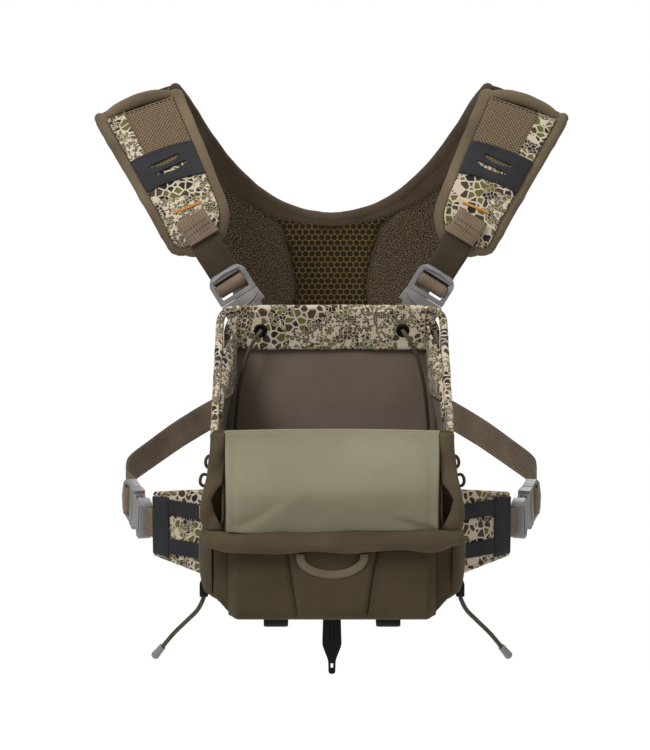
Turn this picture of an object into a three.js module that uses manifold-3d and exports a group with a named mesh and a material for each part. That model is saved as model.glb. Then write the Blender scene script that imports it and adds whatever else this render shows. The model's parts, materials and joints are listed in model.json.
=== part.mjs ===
// Binocular harness pack, worn on the chest: an open-topped pouch with a fold-down lid, padded
// shoulder straps joined by a mesh yoke behind the shoulders, side straps and two small side wings.
//
// Millimetres. +Z is up, the front of the pack faces -Y, +X is to the right of someone looking at it.
// The origin is on the back face of the back panel, at the middle of its width and height.
// Every paired piece is drawn for the +X side and mirrored for the -X side.

import * as THREE from 'three';
import { mergeVertices } from 'three/addons/utils/BufferGeometryUtils.js';
import Module from 'manifold-3d';

const wasm = await Module();
wasm.setup();

// ---------------------------------------------------------------- driving dimensions
const GAP = 0.3; // clear space between neighbours

const PACK_DEPTH = 105; // back face of the back panel to front face of the front wall
const BASE_Z = -90; // underside of the pack
const BACK_TOP_Z = 90; // top edge of the back panel
const FRONT_TOP_Z = 24.5; // top edge of the front wall
const HALF_WIDTH = 74; // middle to the outer face of a side wall
const BACK_HALF_WIDTH = 68; // half width of the back panel
const WALL = 4; // padded wall
const CHAMFER = { x: 12, z: 14 }; // cut off the lower corners, seen from the front
const BACK_WALL = 5;

const WEBBING_WIDTH = 20;
const WEBBING_THICK = 1.6;
const CORD_DIAMETER = 2.8;

const LID_HINGE = { y: -108.5, z: 27 };
const LID_END = { y: -114.5, z: -40 }; // where the lid's shell meets its padded hem
const LID_HALF_WIDTH = 65;
const LID_ROLL_HALF_WIDTH = 73; // half length of the padded hem

// ---------------------------------------------------------------- materials
function material(hex, roughness, metalness = 0) {
  return new THREE.MeshStandardMaterial({ color: hex, roughness, metalness });
}

const camo = material(0x8c7f66, 0.9);
const softshell = material(0x4a4029, 0.9);
const liner = material(0x948e78, 0.85);
const mesh = material(0x40331c, 0.95);
const webbing = material(0x6e5d49, 0.9);
const blackWebbing = material(0x1e1e1c, 0.85);
const laminate = material(0x2c2c2d, 0.6);
const greyPlastic = material(0x8a8886, 0.5);
const blackPlastic = material(0x17171a, 0.4);
const shockCord = material(0x4a3f2c, 0.9);

// ---------------------------------------------------------------- geometry helpers
const vec = (x, y, z) => new THREE.Vector3(x, y, z);

function toManifold(geometry) {
  const bare = geometry.clone();
  bare.deleteAttribute('normal');
  bare.deleteAttribute('uv');
  const merged = mergeVertices(bare, 1e-4);
  return new wasm.Manifold(new wasm.Mesh({
    numProp: 3,
    vertProperties: new Float32Array(merged.attributes.position.array),
    triVerts: new Uint32Array(merged.index.array),
  }));
}

function toGeometry(solid) {
  const result = solid.getMesh();
  const geometry = new THREE.BufferGeometry();
  geometry.setAttribute('position', new THREE.BufferAttribute(new Float32Array(result.vertProperties), 3));
  geometry.setIndex(new THREE.BufferAttribute(new Uint32Array(result.triVerts), 1));
  return geometry;
}

function cut(body, ...tools) {
  return toGeometry(tools.reduce((left, tool) => left.subtract(toManifold(tool)), toManifold(body)));
}

function common(one, other) {
  return toGeometry(toManifold(one).intersect(toManifold(other)));
}

function join(...bodies) {
  const solids = bodies.map(toManifold);
  return toGeometry(solids.reduce((sum, solid) => sum.add(solid)));
}

// A box from its lowest to its highest corner.
function block(x0, x1, y0, y1, z0, z1) {
  const box = new THREE.BoxGeometry(x1 - x0, y1 - y0, z1 - z0);
  return box.translate((x0 + x1) / 2, (y0 + y1) / 2, (z0 + z1) / 2);
}

// A polygon with its corners rounded; each point is [a, b] or [a, b, radius].
function outline(points, radius = 0) {
  const shape = new THREE.Shape();
  const count = points.length;
  points.forEach(([a, b, own], i) => {
    const here = new THREE.Vector2(a, b);
    const before = new THREE.Vector2(...points[(i + count - 1) % count].slice(0, 2));
    const after = new THREE.Vector2(...points[(i + 1) % count].slice(0, 2));
    const r = own ?? radius;
    const start = here.clone().add(before.sub(here).setLength(r));
    const end = here.clone().add(after.sub(here).setLength(r));
    if (i === 0) shape.moveTo(start.x, start.y);
    else shape.lineTo(start.x, start.y);
    if (r > 0) shape.quadraticCurveTo(here.x, here.y, end.x, end.y);
  });
  shape.closePath();
  return shape;
}

// A plate seen from the front: its outline is (x, z), and it runs from y0 back to y1.
function frontPlate(shape, y0, y1, curveSegments = 4) {
  const geometry = new THREE.ExtrudeGeometry(shape, { depth: y1 - y0, bevelEnabled: false, curveSegments });
  return geometry.rotateX(Math.PI / 2).translate(0, y1, 0);
}

// A plate seen from the side: its outline is (y, z), and it runs from x0 to x1.
function sidePlate(shape, x0, x1, curveSegments = 4) {
  const geometry = new THREE.ExtrudeGeometry(shape, { depth: x1 - x0, bevelEnabled: false, curveSegments });
  const turn = new THREE.Matrix4().makeBasis(vec(0, 1, 0), vec(0, 0, 1), vec(1, 0, 0));
  return geometry.applyMatrix4(turn).translate(x0, 0, 0);
}

// A closed skin through rings of equal length, with flat ends.
function loft(rings) {
  const size = rings[0].length;
  const positions = rings.flat().flatMap((p) => [p.x, p.y, p.z]);
  const faces = [];
  for (let r = 0; r + 1 < rings.length; r += 1) {
    for (let i = 0; i < size; i += 1) {
      const a = r * size + i;
      const b = r * size + ((i + 1) % size);
      faces.push(a, b, b + size, a, b + size, a + size);
    }
  }
  const last = (rings.length - 1) * size;
  for (let i = 1; i + 1 < size; i += 1) {
    faces.push(0, i + 1, i, last, last + i, last + i + 1);
  }
  const geometry = new THREE.BufferGeometry();
  geometry.setAttribute('position', new THREE.Float32BufferAttribute(positions, 3));
  geometry.setIndex(faces);
  return volumeOf(geometry) < 0 ? turnInsideOut(geometry) : geometry;
}

function volumeOf(geometry) {
  const at = (i) => new THREE.Vector3().fromBufferAttribute(geometry.attributes.position, i);
  const index = geometry.index.array;
  let sum = 0;
  for (let t = 0; t < index.length; t += 3) {
    sum += at(index[t]).dot(at(index[t + 1]).cross(at(index[t + 2]))) / 6;
  }
  return sum;
}

function turnInsideOut(geometry) {
  const index = geometry.index.array;
  for (let t = 0; t < index.length; t += 3) {
    [index[t], index[t + 1]] = [index[t + 1], index[t]];
  }
  return geometry;
}

// The same piece on the -X side.
function mirrored(geometry) {
  const copy = mergeVertices(geometry.clone().deleteAttribute('normal'), 1e-5).scale(-1, 1, 1);
  return turnInsideOut(copy);
}

// A flat band along a path. Each station gives its middle, the direction of its width, its half
// width and the side that its thickness grows towards.
function band(stations, thickness, offset = 0) {
  return loft(stations.map(({ at, across, half, up }) => {
    const low = up.clone().multiplyScalar(offset);
    const high = up.clone().multiplyScalar(offset + thickness);
    const side = across.clone().multiplyScalar(half);
    return [
      at.clone().add(low).sub(side),
      at.clone().add(low).add(side),
      at.clone().add(high).add(side),
      at.clone().add(high).sub(side),
    ];
  }));
}

// A round cord along a smooth path.
function cord(points, diameter, steps) {
  const section = new THREE.Shape();
  const sides = 8;
  for (let i = 0; i < sides; i += 1) {
    const angle = (i / sides) * 2 * Math.PI;
    const spot = [Math.cos(angle) * diameter / 2, Math.sin(angle) * diameter / 2];
    if (i === 0) section.moveTo(...spot);
    else section.lineTo(...spot);
  }
  section.closePath();
  const path = new THREE.CatmullRomCurve3(points, false, 'centripetal');
  return new THREE.ExtrudeGeometry(section, { steps, extrudePath: path, bevelEnabled: false });
}

// ---------------------------------------------------------------- the assembly
const pack = new THREE.Group();

function part(name, geometry, finish, holder = pack) {
  const piece = new THREE.Mesh(geometry, finish);
  piece.name = name;
  holder.add(piece);
  return piece;
}

function pair(name, geometry, finish) {
  part(`${name}_right`, geometry, finish);
  part(`${name}_left`, mirrored(geometry), finish);
}

// ---------------------------------------------------------------- pouch
const EYELET = { x: 46, z: 76, outer: 5, inner: 2.9 };
const ANCHOR = { halfWidth: 56, low: 56, high: 70, sunk: WEBBING_THICK + 0.1 };
const BAND_BOTTOM_Z = 67;
const BAND_THICK = 2.6;
const bandBack = -BACK_WALL - GAP;
const bandFront = bandBack - BAND_THICK;
const wallInner = HALF_WIDTH - WALL;
const wallBack = -BACK_WALL - GAP;
const wallFront = -PACK_DEPTH + BACK_WALL + GAP;

function discAlongY(radius, x, z, y0, y1) {
  return new THREE.CylinderGeometry(radius, radius, y1 - y0, 20).translate(x, (y0 + y1) / 2, z);
}

function pouch() {
  const baseHalf = HALF_WIDTH - CHAMFER.x;
  const backOutline = outline([
    [-BACK_HALF_WIDTH, BASE_Z + CHAMFER.z / 2],
    [-baseHalf, BASE_Z],
    [baseHalf, BASE_Z],
    [BACK_HALF_WIDTH, BASE_Z + CHAMFER.z / 2],
    [BACK_HALF_WIDTH, BACK_TOP_Z, 16],
    [-BACK_HALF_WIDTH, BACK_TOP_Z, 16],
  ]);
  // The anchor webbing is sewn into a shallow groove across the back face.
  const groove = block(
    -ANCHOR.halfWidth - GAP, ANCHOR.halfWidth + GAP,
    -ANCHOR.sunk - GAP, 1,
    ANCHOR.low - GAP, ANCHOR.high + GAP,
  );
  part('back_panel', cut(frontPlate(backOutline, -BACK_WALL, 0, 6), groove), mesh);

  const bandHalf = BACK_HALF_WIDTH - 2;
  const bandOutline = outline([
    [-bandHalf, BAND_BOTTOM_Z],
    [bandHalf, BAND_BOTTOM_Z],
    [bandHalf, BACK_TOP_Z, 15],
    [-bandHalf, BACK_TOP_Z, 15],
  ]);
  const holes = [-EYELET.x, EYELET.x].map((x) => (
    discAlongY(EYELET.outer + GAP, x, EYELET.z, bandFront - 1, bandBack + 1)
  ));
  part('mouth_band', cut(frontPlate(bandOutline, bandFront, bandBack, 6), ...holes), camo);

  const ring = cut(
    discAlongY(EYELET.outer, EYELET.x, EYELET.z, bandFront - 0.8, bandBack),
    discAlongY(EYELET.inner, EYELET.x, EYELET.z, bandFront - 2, bandBack + 1),
  );
  pair('eyelet', ring, blackPlastic);

  const sideOutline = outline([
    [wallBack, BASE_Z],
    [wallBack, BACK_TOP_Z - 4, 6],
    [wallFront, FRONT_TOP_Z + 2, 3],
    [wallFront, BASE_Z],
  ]);
  const sideSection = outline([
    [wallInner, BACK_TOP_Z],
    [HALF_WIDTH, BACK_TOP_Z],
    [HALF_WIDTH, BASE_Z + CHAMFER.z],
    [baseHalf, BASE_Z],
    [baseHalf - 3, BASE_Z],
    [baseHalf - 3, BASE_Z + 2.7],
    [wallInner, BASE_Z + CHAMFER.z + 1.5],
  ]);
  const sideWall = common(
    frontPlate(sideSection, wallFront - 1, wallBack + 1),
    sidePlate(sideOutline, baseHalf - 5, HALF_WIDTH + 1),
  );
  pair('side_wall', sideWall, camo);

  const frontOutline = outline([
    [-HALF_WIDTH, BASE_Z + CHAMFER.z, 4],
    [-baseHalf, BASE_Z, 4],
    [baseHalf, BASE_Z, 4],
    [HALF_WIDTH, BASE_Z + CHAMFER.z, 4],
    [HALF_WIDTH, FRONT_TOP_Z, 4],
    [-HALF_WIDTH, FRONT_TOP_Z, 4],
  ]);
  part('front_wall', frontPlate(frontOutline, -PACK_DEPTH, -PACK_DEPTH + BACK_WALL), softshell);

  const floorX = baseHalf - 3 - GAP;
  part('base_panel', block(-floorX, floorX, wallFront, wallBack, BASE_Z, BASE_Z + WALL), softshell);
}

// The flat front pocket, open along its top edge, which the lid hangs over.
const POCKET_TOP_Z = -46;
const POCKET_HALF_WIDTH = 63;
const POCKET_DEPTH = { top: 6.5, bottom: 12.5 };

function pockets() {
  const back = -PACK_DEPTH - GAP;
  const skin = 1.5;
  const profile = (inset, raise) => outline([
    [back - (inset > 0 ? -2 : 0), BASE_Z + 1 + inset],
    [back - POCKET_DEPTH.bottom + inset, BASE_Z + 1 + inset],
    [back - POCKET_DEPTH.top + inset, POCKET_TOP_Z + raise],
    [back - (inset > 0 ? -2 : 0), POCKET_TOP_Z + raise],
  ]);
  const outer = sidePlate(profile(0, 0), -POCKET_HALF_WIDTH, POCKET_HALF_WIDTH);
  const inner = sidePlate(profile(skin, 5), -POCKET_HALF_WIDTH + skin, POCKET_HALF_WIDTH - skin);
  part('front_pocket', cut(outer, inner), softshell);

  // Stretch pockets on the sides: fullest low down, cut back at the lower front corner.
  const bulge = outline([
    [-30, -28, 4],
    [-30, -73, 4],
    [-94, -73, 6],
    [-103, -64, 6],
    [-103, -28, 4],
  ]).getPoints(3).slice(0, -1);
  const middle = { y: -66, z: -47 };
  const swell = [[GAP, 1], [3, 0.97], [6.5, 0.8], [9, 0.5]];
  const rings = swell.map(([out, grow]) => bulge.map((p) => (
    vec(HALF_WIDTH + out, middle.y + (p.x - middle.y) * grow, middle.z + (p.y - middle.z) * grow)
  )));
  pair('side_pocket', loft(rings), softshell);

  // The lid's side gussets, gathered into a soft roll at each front corner.
  const roll = [[19, 3], [0, 4.2], [-16, 5], [-31, 4.2]].map(([z, half]) => {
    const ring = [];
    const sides = 8;
    for (let i = 0; i < sides; i += 1) {
      const angle = (i / sides) * 2 * Math.PI;
      ring.push(vec(73 + Math.cos(angle) * half, -110.8 + Math.sin(angle) * (half + 0.2), z));
    }
    return ring;
  });
  pair('lid_gusset', loft(roll), softshell);
}

// ---------------------------------------------------------------- lid
const LID_SHELL_THICK = 2.6;
const LID_LINER_THICK = 1.4;
const LID_ROLL_RADIUS = 7;
const LID_BOW = 2.2;
const HANDLE = { halfWidth: 19.7, drop: 12, z: -49.6, y: -116.1 };

// Middle of the lid's outer shell, as y at a height z.
function lidLine(z) {
  const share = (LID_HINGE.z - z) / (LID_HINGE.z - LID_END.z);
  return LID_HINGE.y + (LID_END.y - LID_HINGE.y) * share;
}

function lidSheet(halfWidth, zTop, zLow, front, back) {
  const steps = 6;
  const rings = [];
  for (let i = 0; i <= steps; i += 1) {
    const z = zTop + ((zLow - zTop) * i) / steps;
    const bow = LID_BOW * Math.sin((Math.PI * (LID_HINGE.z - z)) / (LID_HINGE.z - LID_END.z));
    const y = lidLine(z) - bow;
    rings.push([
      vec(-halfWidth, y - front, z),
      vec(halfWidth, y - front, z),
      vec(halfWidth, y + back, z),
      vec(-halfWidth, y + back, z),
    ]);
  }
  return loft(rings);
}

function lid() {
  const half = LID_SHELL_THICK / 2;
  const sheet = lidSheet(LID_HALF_WIDTH, LID_HINGE.z - 1, LID_END.z, half, half);
  const roll = new THREE.CylinderGeometry(LID_ROLL_RADIUS, LID_ROLL_RADIUS, 2 * LID_ROLL_HALF_WIDTH, 16);
  roll.rotateZ(Math.PI / 2).translate(0, LID_END.y - 4, LID_END.z - 1);
  part('lid_shell', join(sheet, roll), softshell);

  const linerFront = half + GAP + LID_LINER_THICK;
  const linerLow = LID_END.z + LID_ROLL_RADIUS + 1;
  const linerBack = -half - GAP;
  part('lid_liner', lidSheet(LID_HALF_WIDTH - 1, LID_HINGE.z - 1.5, linerLow, linerFront, linerBack), liner);

  // Pull handle: a flat webbing loop that hangs below the roll.
  const stations = [];
  const steps = 12;
  for (let i = 0; i <= steps; i += 1) {
    const angle = Math.PI * (i / steps);
    const out = vec(-Math.cos(angle), 0, -Math.sin(angle));
    stations.push({
      at: vec(out.x * HANDLE.halfWidth, HANDLE.y, HANDLE.z + out.z * HANDLE.drop),
      across: out,
      half: 2.6,
      up: vec(0, -1, 0),
    });
  }
  part('lid_handle', band(stations, 2.2, -1.1), webbing);
}

// ---------------------------------------------------------------- wings
const WING = {
  root: vec(HALF_WIDTH + 0.6, -12, -57),
  tip: vec(115.5, 12, -55),
  thick: 4,
  rootHalf: 28.5,
  tipHalf: 20,
};

function wingPoint(share, height, lift) {
  const along = WING.tip.clone().sub(WING.root);
  const normal = vec(along.y, -along.x, 0).normalize();
  return WING.root.clone().addScaledVector(along, share).addScaledVector(normal, lift)
    .add(vec(0, 0, height));
}

// A flat piece on the wing between two shares of its length.
function wingPiece(from, to, halfFrom, halfTo, middle, lift, thick) {
  const ring = (share, half) => [
    wingPoint(share, middle - half, lift),
    wingPoint(share, middle + half, lift),
    wingPoint(share, middle + half, lift + thick),
    wingPoint(share, middle - half, lift + thick),
  ];
  return loft([ring(from, halfFrom), ring(to, halfTo)]);
}

function wings() {
  pair('wing', wingPiece(0, 1, WING.rootHalf, WING.tipHalf, 0, 0, WING.thick), camo);
  const lift = WING.thick + GAP;
  const skin = 1.2;
  const strips = join(
    wingPiece(0.74, 1, 20, 19, 0, lift, skin + 0.4),
    wingPiece(0.02, 0.8, 5, 5, 13.5, lift, skin),
    wingPiece(0.02, 0.8, 5, 5, -12.5, lift, skin),
  );
  pair('wing_laminate', strips, laminate);
}

// ---------------------------------------------------------------- buckles
// Drawn along local +Z: the socket below z = 0, the plug above it, flat in XZ, thickness along Y.
const BUCKLE = {
  half: 14,
  mouthHalf: 13.2,
  socketLength: 30,
  thick: 8,
  cavityHalf: 10.8,
  cavityThick: 4.6,
  plugLength: 20,
  armHalf: 1.5,
  armX: 8.6,
  armLength: 19,
};

function slab(points, thickness, radius) {
  return frontPlate(outline(points, radius), -thickness / 2, thickness / 2, 3);
}

function socketShape() {
  const b = BUCKLE;
  const body = slab([
    [-b.mouthHalf, 0],
    [b.mouthHalf, 0],
    [b.half, -9, 3],
    [b.half - 0.6, -20, 3],
    [b.half - 1, -b.socketLength, 4],
    [-b.half + 1, -b.socketLength, 4],
    [-b.half + 0.6, -20, 3],
    [-b.half, -9, 3],
  ].reverse(), b.thick, 0.5);
  const cavity = block(-b.cavityHalf, b.cavityHalf, -b.cavityThick / 2, b.cavityThick / 2, -22.5, 1);
  const windows = [-1, 1].map((side) => (
    slab([
      [side * 20, -9],
      [side * 11.2, -9],
      [side * 9.6, -13],
      [side * 9.6, -17],
      [side * 11.2, -20.5],
      [side * 20, -20.5],
    ], 12, 1)
  ));
  const slot = block(-10.2, 10.2, -6, 6, -28, -24.4);
  return cut(body, cavity, slot, ...windows);
}

function plugShape() {
  const b = BUCKLE;
  const frame = slab([
    [-b.mouthHalf, GAP, 1],
    [b.mouthHalf, GAP, 1],
    [b.mouthHalf, 15, 2],
    [10, b.plugLength, 3],
    [-10, b.plugLength, 3],
    [-b.mouthHalf, 15, 2],
  ].reverse(), 7, 1);
  const lower = slab([[-10.2, 3.4], [10.2, 3.4], [10.2, 8.2], [-10.2, 8.2]].reverse(), 12, 1);
  const upper = slab([[-10.2, 11], [10.2, 11], [10.2, 15.4], [-10.2, 15.4]].reverse(), 12, 1);
  const tongue = block(-1.7, 1.7, -1.7, 1.7, -17, 1.5);
  return join(cut(frame, lower, upper), tongue);
}

// One squeeze arm, beside the tongue on the +X side of the plug.
function armShape() {
  const b = BUCKLE;
  return slab([
    [b.armX - b.armHalf, 0],
    [b.armX + b.armHalf, 0],
    [b.armX + b.armHalf, -8],
    [b.cavityHalf - 0.35, -11],
    [b.cavityHalf - 0.35, -16],
    [b.armX, -b.armLength],
    [b.armX - b.armHalf - 1, -16],
    [b.armX - b.armHalf, -8],
  ], 3.4, 0.4);
}

// Puts buckle geometry on a line: `mouth` is the middle of the joint between the halves, `along`
// points from the socket to the plug, `front` is the way its face looks.
function buckleFrame(mouth, along, front) {
  const z = along.clone().normalize();
  const x = front.clone().negate().cross(z).normalize();
  const y = z.clone().cross(x).normalize();
  return new THREE.Matrix4().makeBasis(x, y, z).setPosition(mouth);
}

const SHOULDER_BUCKLE = { mouth: vec(60.5, 9.5, 96), along: vec(0.53, 0.06, 0.84), front: vec(0, -1, 0.07) };
const SIDE_BUCKLE = { mouth: vec(132.5, 45, -49), along: vec(0.3, 0.93, 0.2), front: vec(0.93, -0.3, 0) };

function buckles() {
  const places = { shoulder_buckle: SHOULDER_BUCKLE, side_buckle: SIDE_BUCKLE };
  for (const [name, place] of Object.entries(places)) {
    const frame = buckleFrame(place.mouth, place.along, place.front);
    pair(`${name}_socket`, socketShape().applyMatrix4(frame), greyPlastic);
    pair(`${name}_plug`, plugShape().applyMatrix4(frame), greyPlastic);
    pair(`${name}_arm_outer`, armShape().applyMatrix4(frame), greyPlastic);
    pair(`${name}_arm_inner`, mirrored(armShape()).applyMatrix4(frame), greyPlastic);
  }
}

// ---------------------------------------------------------------- harness
// Middle line of a shoulder pad, from its lower end over the chest to the top of the shoulder.
const PAD_LINE = [
  { at: vec(88, 20.6, 128), half: 11 },
  { at: vec(88.8, 21.4, 134), half: 19.5 },
  { at: vec(91, 24.4, 145), half: 23.5 },
  { at: vec(101, 38, 165), half: 25.5 },
  { at: vec(113, 56, 187), half: 27.5 },
  { at: vec(124.5, 74, 207), half: 29.5 },
  { at: vec(131.5, 86.5, 219.5), half: 30.6 },
];
const PATCH = { from: 0.5, to: 0.67, half: 20, lift: 0.4, thick: 1.2 }; // shares of the pad's length
const PAD_ACROSS = vec(-0.945, 0, 0.33).normalize();
const PAD_THICK = 9;
const PAD_STEPS = 18;

function padStation(share, half) {
  const middle = new THREE.CatmullRomCurve3(PAD_LINE.map(({ at }) => at));
  const widths = new THREE.SplineCurve(PAD_LINE.map((station, i) => new THREE.Vector2(i, station.half)));
  const up = middle.getTangent(share).cross(PAD_ACROSS).normalize();
  if (up.y > 0) up.negate();
  return { at: middle.getPoint(share), across: PAD_ACROSS, half: half ?? widths.getPoint(share).y, up };
}

function shoulderPads() {
  const stations = [];
  const patchStations = [];
  for (let i = 0; i <= PAD_STEPS; i += 1) {
    const share = i / PAD_STEPS;
    stations.push(padStation(share));
    if (share >= PATCH.from && share <= PATCH.to) patchStations.push(padStation(share, PATCH.half));
  }
  pair('shoulder_pad', band(stations, PAD_THICK, -PAD_THICK), mesh);

  // Black patch across the pad, with two plain slots through it.
  const { at, across, up } = padStation((PATCH.from + PATCH.to) / 2);
  const along = across.clone().cross(up);
  const turn = new THREE.Matrix4().makeBasis(across, up, along).setPosition(at);
  const slots = [block(-14, 3, -2, 4, 2.2, 3.8), block(-6, 12, -2, 4, -3.8, -2.2)];
  const patch = band(patchStations, PATCH.thick, PATCH.lift);
  pair('shoulder_patch', cut(patch, ...slots.map((slot) => slot.applyMatrix4(turn))), laminate);
}

// Webbing from the pad's lower end down behind the ladder-lock of the shoulder buckle.
function shoulderWebbing() {
  const along = SHOULDER_BUCKLE.along.clone().normalize();
  const across = vec(0, -1, 0.12).cross(along).normalize();
  const up = along.clone().cross(across).normalize();
  if (up.y > 0) up.negate();
  const behind = SHOULDER_BUCKLE.mouth.clone().addScaledVector(up, -6.6);
  const station = (distance) => ({
    at: behind.clone().addScaledVector(along, distance),
    across,
    half: WEBBING_WIDTH / 2,
    up,
  });
  const sewn = padStation(0.3, WEBBING_WIDTH / 2);
  sewn.at.addScaledVector(sewn.up, GAP + 0.1);
  pair('shoulder_webbing', band([station(9), station(38), sewn], WEBBING_THICK), webbing);
}

// The yoke: one padded mesh sheet behind the shoulders. Its inner edge is the neck curve and its
// outer edge runs down to the square lower end, where the side straps leave it.
const YOKE_THICK = 7;
const YOKE_INNER = [
  vec(103, 96, 227), vec(97, 118, 217), vec(86, 145, 196), vec(66, 169, 168), vec(42, 183, 148),
  vec(20, 188, 139), vec(0, 189, 136),
];
const YOKE_OUTER = [
  vec(159, 96, 205.5), vec(153, 123, 196), vec(134, 151, 176), vec(107, 173, 148), vec(81, 187, 108),
  vec(57, 194, 40), vec(45, 195, -8),
];
const YOKE_MIDDLE = { besideNeck: vec(8, 188.8, 136.6), bottom: vec(0, 196, -8) };

function yoke() {
  const inner = new THREE.CatmullRomCurve3(YOKE_INNER, false, 'centripetal');
  const outer = new THREE.CatmullRomCurve3(YOKE_OUTER, false, 'centripetal');
  const steps = 14;
  const half = [];
  for (let i = 0; i < steps; i += 1) {
    half.push([inner.getPoint(i / steps), outer.getPoint(i / steps)]);
  }
  half.push([YOKE_MIDDLE.besideNeck, YOKE_OUTER.at(-1)]);
  half.push([YOKE_INNER.at(-1), YOKE_MIDDLE.bottom]);
  const mirror = (p) => vec(-p.x, p.y, p.z);
  const otherHalf = half.slice(0, -1).reverse().map(([a, b]) => [mirror(a), mirror(b)]);
  const all = [...half, ...otherHalf];
  const rings = all.map(([a, b], i) => {
    const [a0] = all[Math.max(0, i - 1)];
    const [a1] = all[Math.min(all.length - 1, i + 1)];
    const along = a1.clone().sub(a0);
    const normal = along.cross(b.clone().sub(a)).normalize();
    if (normal.y < 0 || (Math.abs(normal.y) < 0.2 && normal.z < 0)) normal.negate();
    normal.multiplyScalar(YOKE_THICK);
    return [a, b, b.clone().add(normal), a.clone().add(normal)];
  });
  part('yoke_pad', loft(rings), mesh);
}

// Side straps: from the yoke's lower corners round the ribs, ending behind the side buckles' ladder-locks.
function sideStraps() {
  const along = SIDE_BUCKLE.along.clone().normalize();
  const outwards = SIDE_BUCKLE.front.clone().normalize();
  const inside = SIDE_BUCKLE.mouth.clone().addScaledVector(outwards, -5.7);
  const route = [
    inside.clone().addScaledVector(along, 9),
    inside.clone().addScaledVector(along, 25),
    vec(140.6, 92, -43.5),
    vec(141.5, 117, -39),
    vec(127, 144, -30.5),
    vec(103, 167, -16.6),
    vec(74, 184, -3),
    vec(48, 190, 3),
    vec(32, 191.6, 4),
  ];
  const path = new THREE.CatmullRomCurve3(route, false, 'centripetal');
  const steps = 22;
  const stations = [];
  for (let i = 0; i <= steps; i += 1) {
    const share = i / steps;
    const tangent = path.getTangent(share);
    const up = vec(tangent.y, -tangent.x, 0).normalize();
    if (up.dot(vec(1, 0, 0)) < 0 && up.y < 0) up.negate();
    const across = tangent.clone().cross(up).normalize();
    stations.push({ at: path.getPoint(share), across, half: WEBBING_WIDTH / 2, up });
  }
  pair('side_strap', band(stations, WEBBING_THICK), webbing);
}

// ---------------------------------------------------------------- small parts
function smallParts() {
  // Webbing that holds the shoulder buckles' sockets, sewn across the back of the back panel.
  const anchor = block(
    -ANCHOR.halfWidth, ANCHOR.halfWidth,
    -ANCHOR.sunk, WEBBING_THICK - ANCHOR.sunk,
    ANCHOR.low, ANCHOR.high,
  );
  part('shoulder_anchor', anchor, webbing);

  // Webbing stub between the wing and the side buckle's socket.
  const along = SIDE_BUCKLE.along.clone().normalize();
  const front = SIDE_BUCKLE.front.clone().normalize();
  const across = along.clone().cross(front).normalize();
  const start = wingPoint(1.07, 0, 2);
  const end = SIDE_BUCKLE.mouth.clone().addScaledVector(along, -BUCKLE.socketLength - GAP);
  const stations = [start, end].map((at) => ({ at, across, half: 9.5, up: front }));
  pair('wing_webbing', band(stations, WEBBING_THICK, -WEBBING_THICK / 2), webbing);

  // Cord locks at the lower front corners, their cord tails and cord ends.
  const lock = cut(
    block(77.5, 82.7, -88, -79, -81.5, -73.3),
    new THREE.CylinderGeometry(1.9, 1.9, 12, 10).rotateX(Math.PI / 2).translate(80.1, -83.5, -82.5),
  );
  pair('cord_lock', lock, blackPlastic);

  const tail = [
    vec(80.1, -83.5, -78), vec(80.2, -83.4, -82), vec(84, -80, -91), vec(91.5, -74, -100),
    vec(100, -68, -109.5), vec(107.5, -62, -119.5),
  ];
  pair('cord_tail', cord(tail, CORD_DIAMETER, 10), shockCord);

  const endRun = tail.at(-1).clone().sub(tail.at(-2)).normalize();
  const cap = new THREE.CylinderGeometry(2.6, 2.1, 10.5, 12);
  cap.applyQuaternion(new THREE.Quaternion().setFromUnitVectors(vec(0, 1, 0), endRun));
  cap.translate(...tail.at(-1).clone().addScaledVector(endRun, 5.8));
  pair('cord_end', cap, greyPlastic);

  // Tether cords: out of the eyelets, forwards and down inside the pouch to the side seam.
  const tether = [
    vec(46, -5.8, 76), vec(46.4, -12, 75.6), vec(50, -17.5, 71), vec(55, -19, 60), vec(59, -18.5, 44),
    vec(61.5, -16, 24), vec(63, -13, 4), vec(63.5, -9.5, -8), vec(63.6, -6.8, -11),
  ];
  pair('tether_cord', cord(tether, 2.5, 28), shockCord);

  // Flat webbing loops under the base.
  const loopTop = BASE_Z - GAP;
  const loopHang = 7.5;
  const loop = cut(
    block(27.5, 42.5, -98, -40, loopTop - loopHang - 1.4, loopTop),
    block(20, 50, -94, -44, loopTop - loopHang, loopTop + 5),
  );
  pair('base_loop', loop, blackWebbing);

  // The keeper tongue that hangs below the middle of the base.
  const tongue = frontPlate(outline([
    [-5.4, -92],
    [-6.2, -119, 2],
    [-2.4, -129, 2],
    [-2.2, -138, 2],
    [2.2, -138, 2],
    [2.4, -129, 2],
    [6.2, -119, 2],
    [5.4, -92],
  ]), -62, -58.5);
  const slot = block(-0.8, 0.8, -70, -50, -134.5, -131);
  part('base_tongue', cut(tongue, slot), blackPlastic);
}

pouch();
pockets();
lid();
wings();
buckles();
shoulderPads();
shoulderWebbing();
yoke();
sideStraps();
smallParts();

export default pack;
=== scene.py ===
import json
import math

import bmesh
import bpy
import numpy as np
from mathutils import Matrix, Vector, noise
from mathutils.bvhtree import BVHTree

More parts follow.
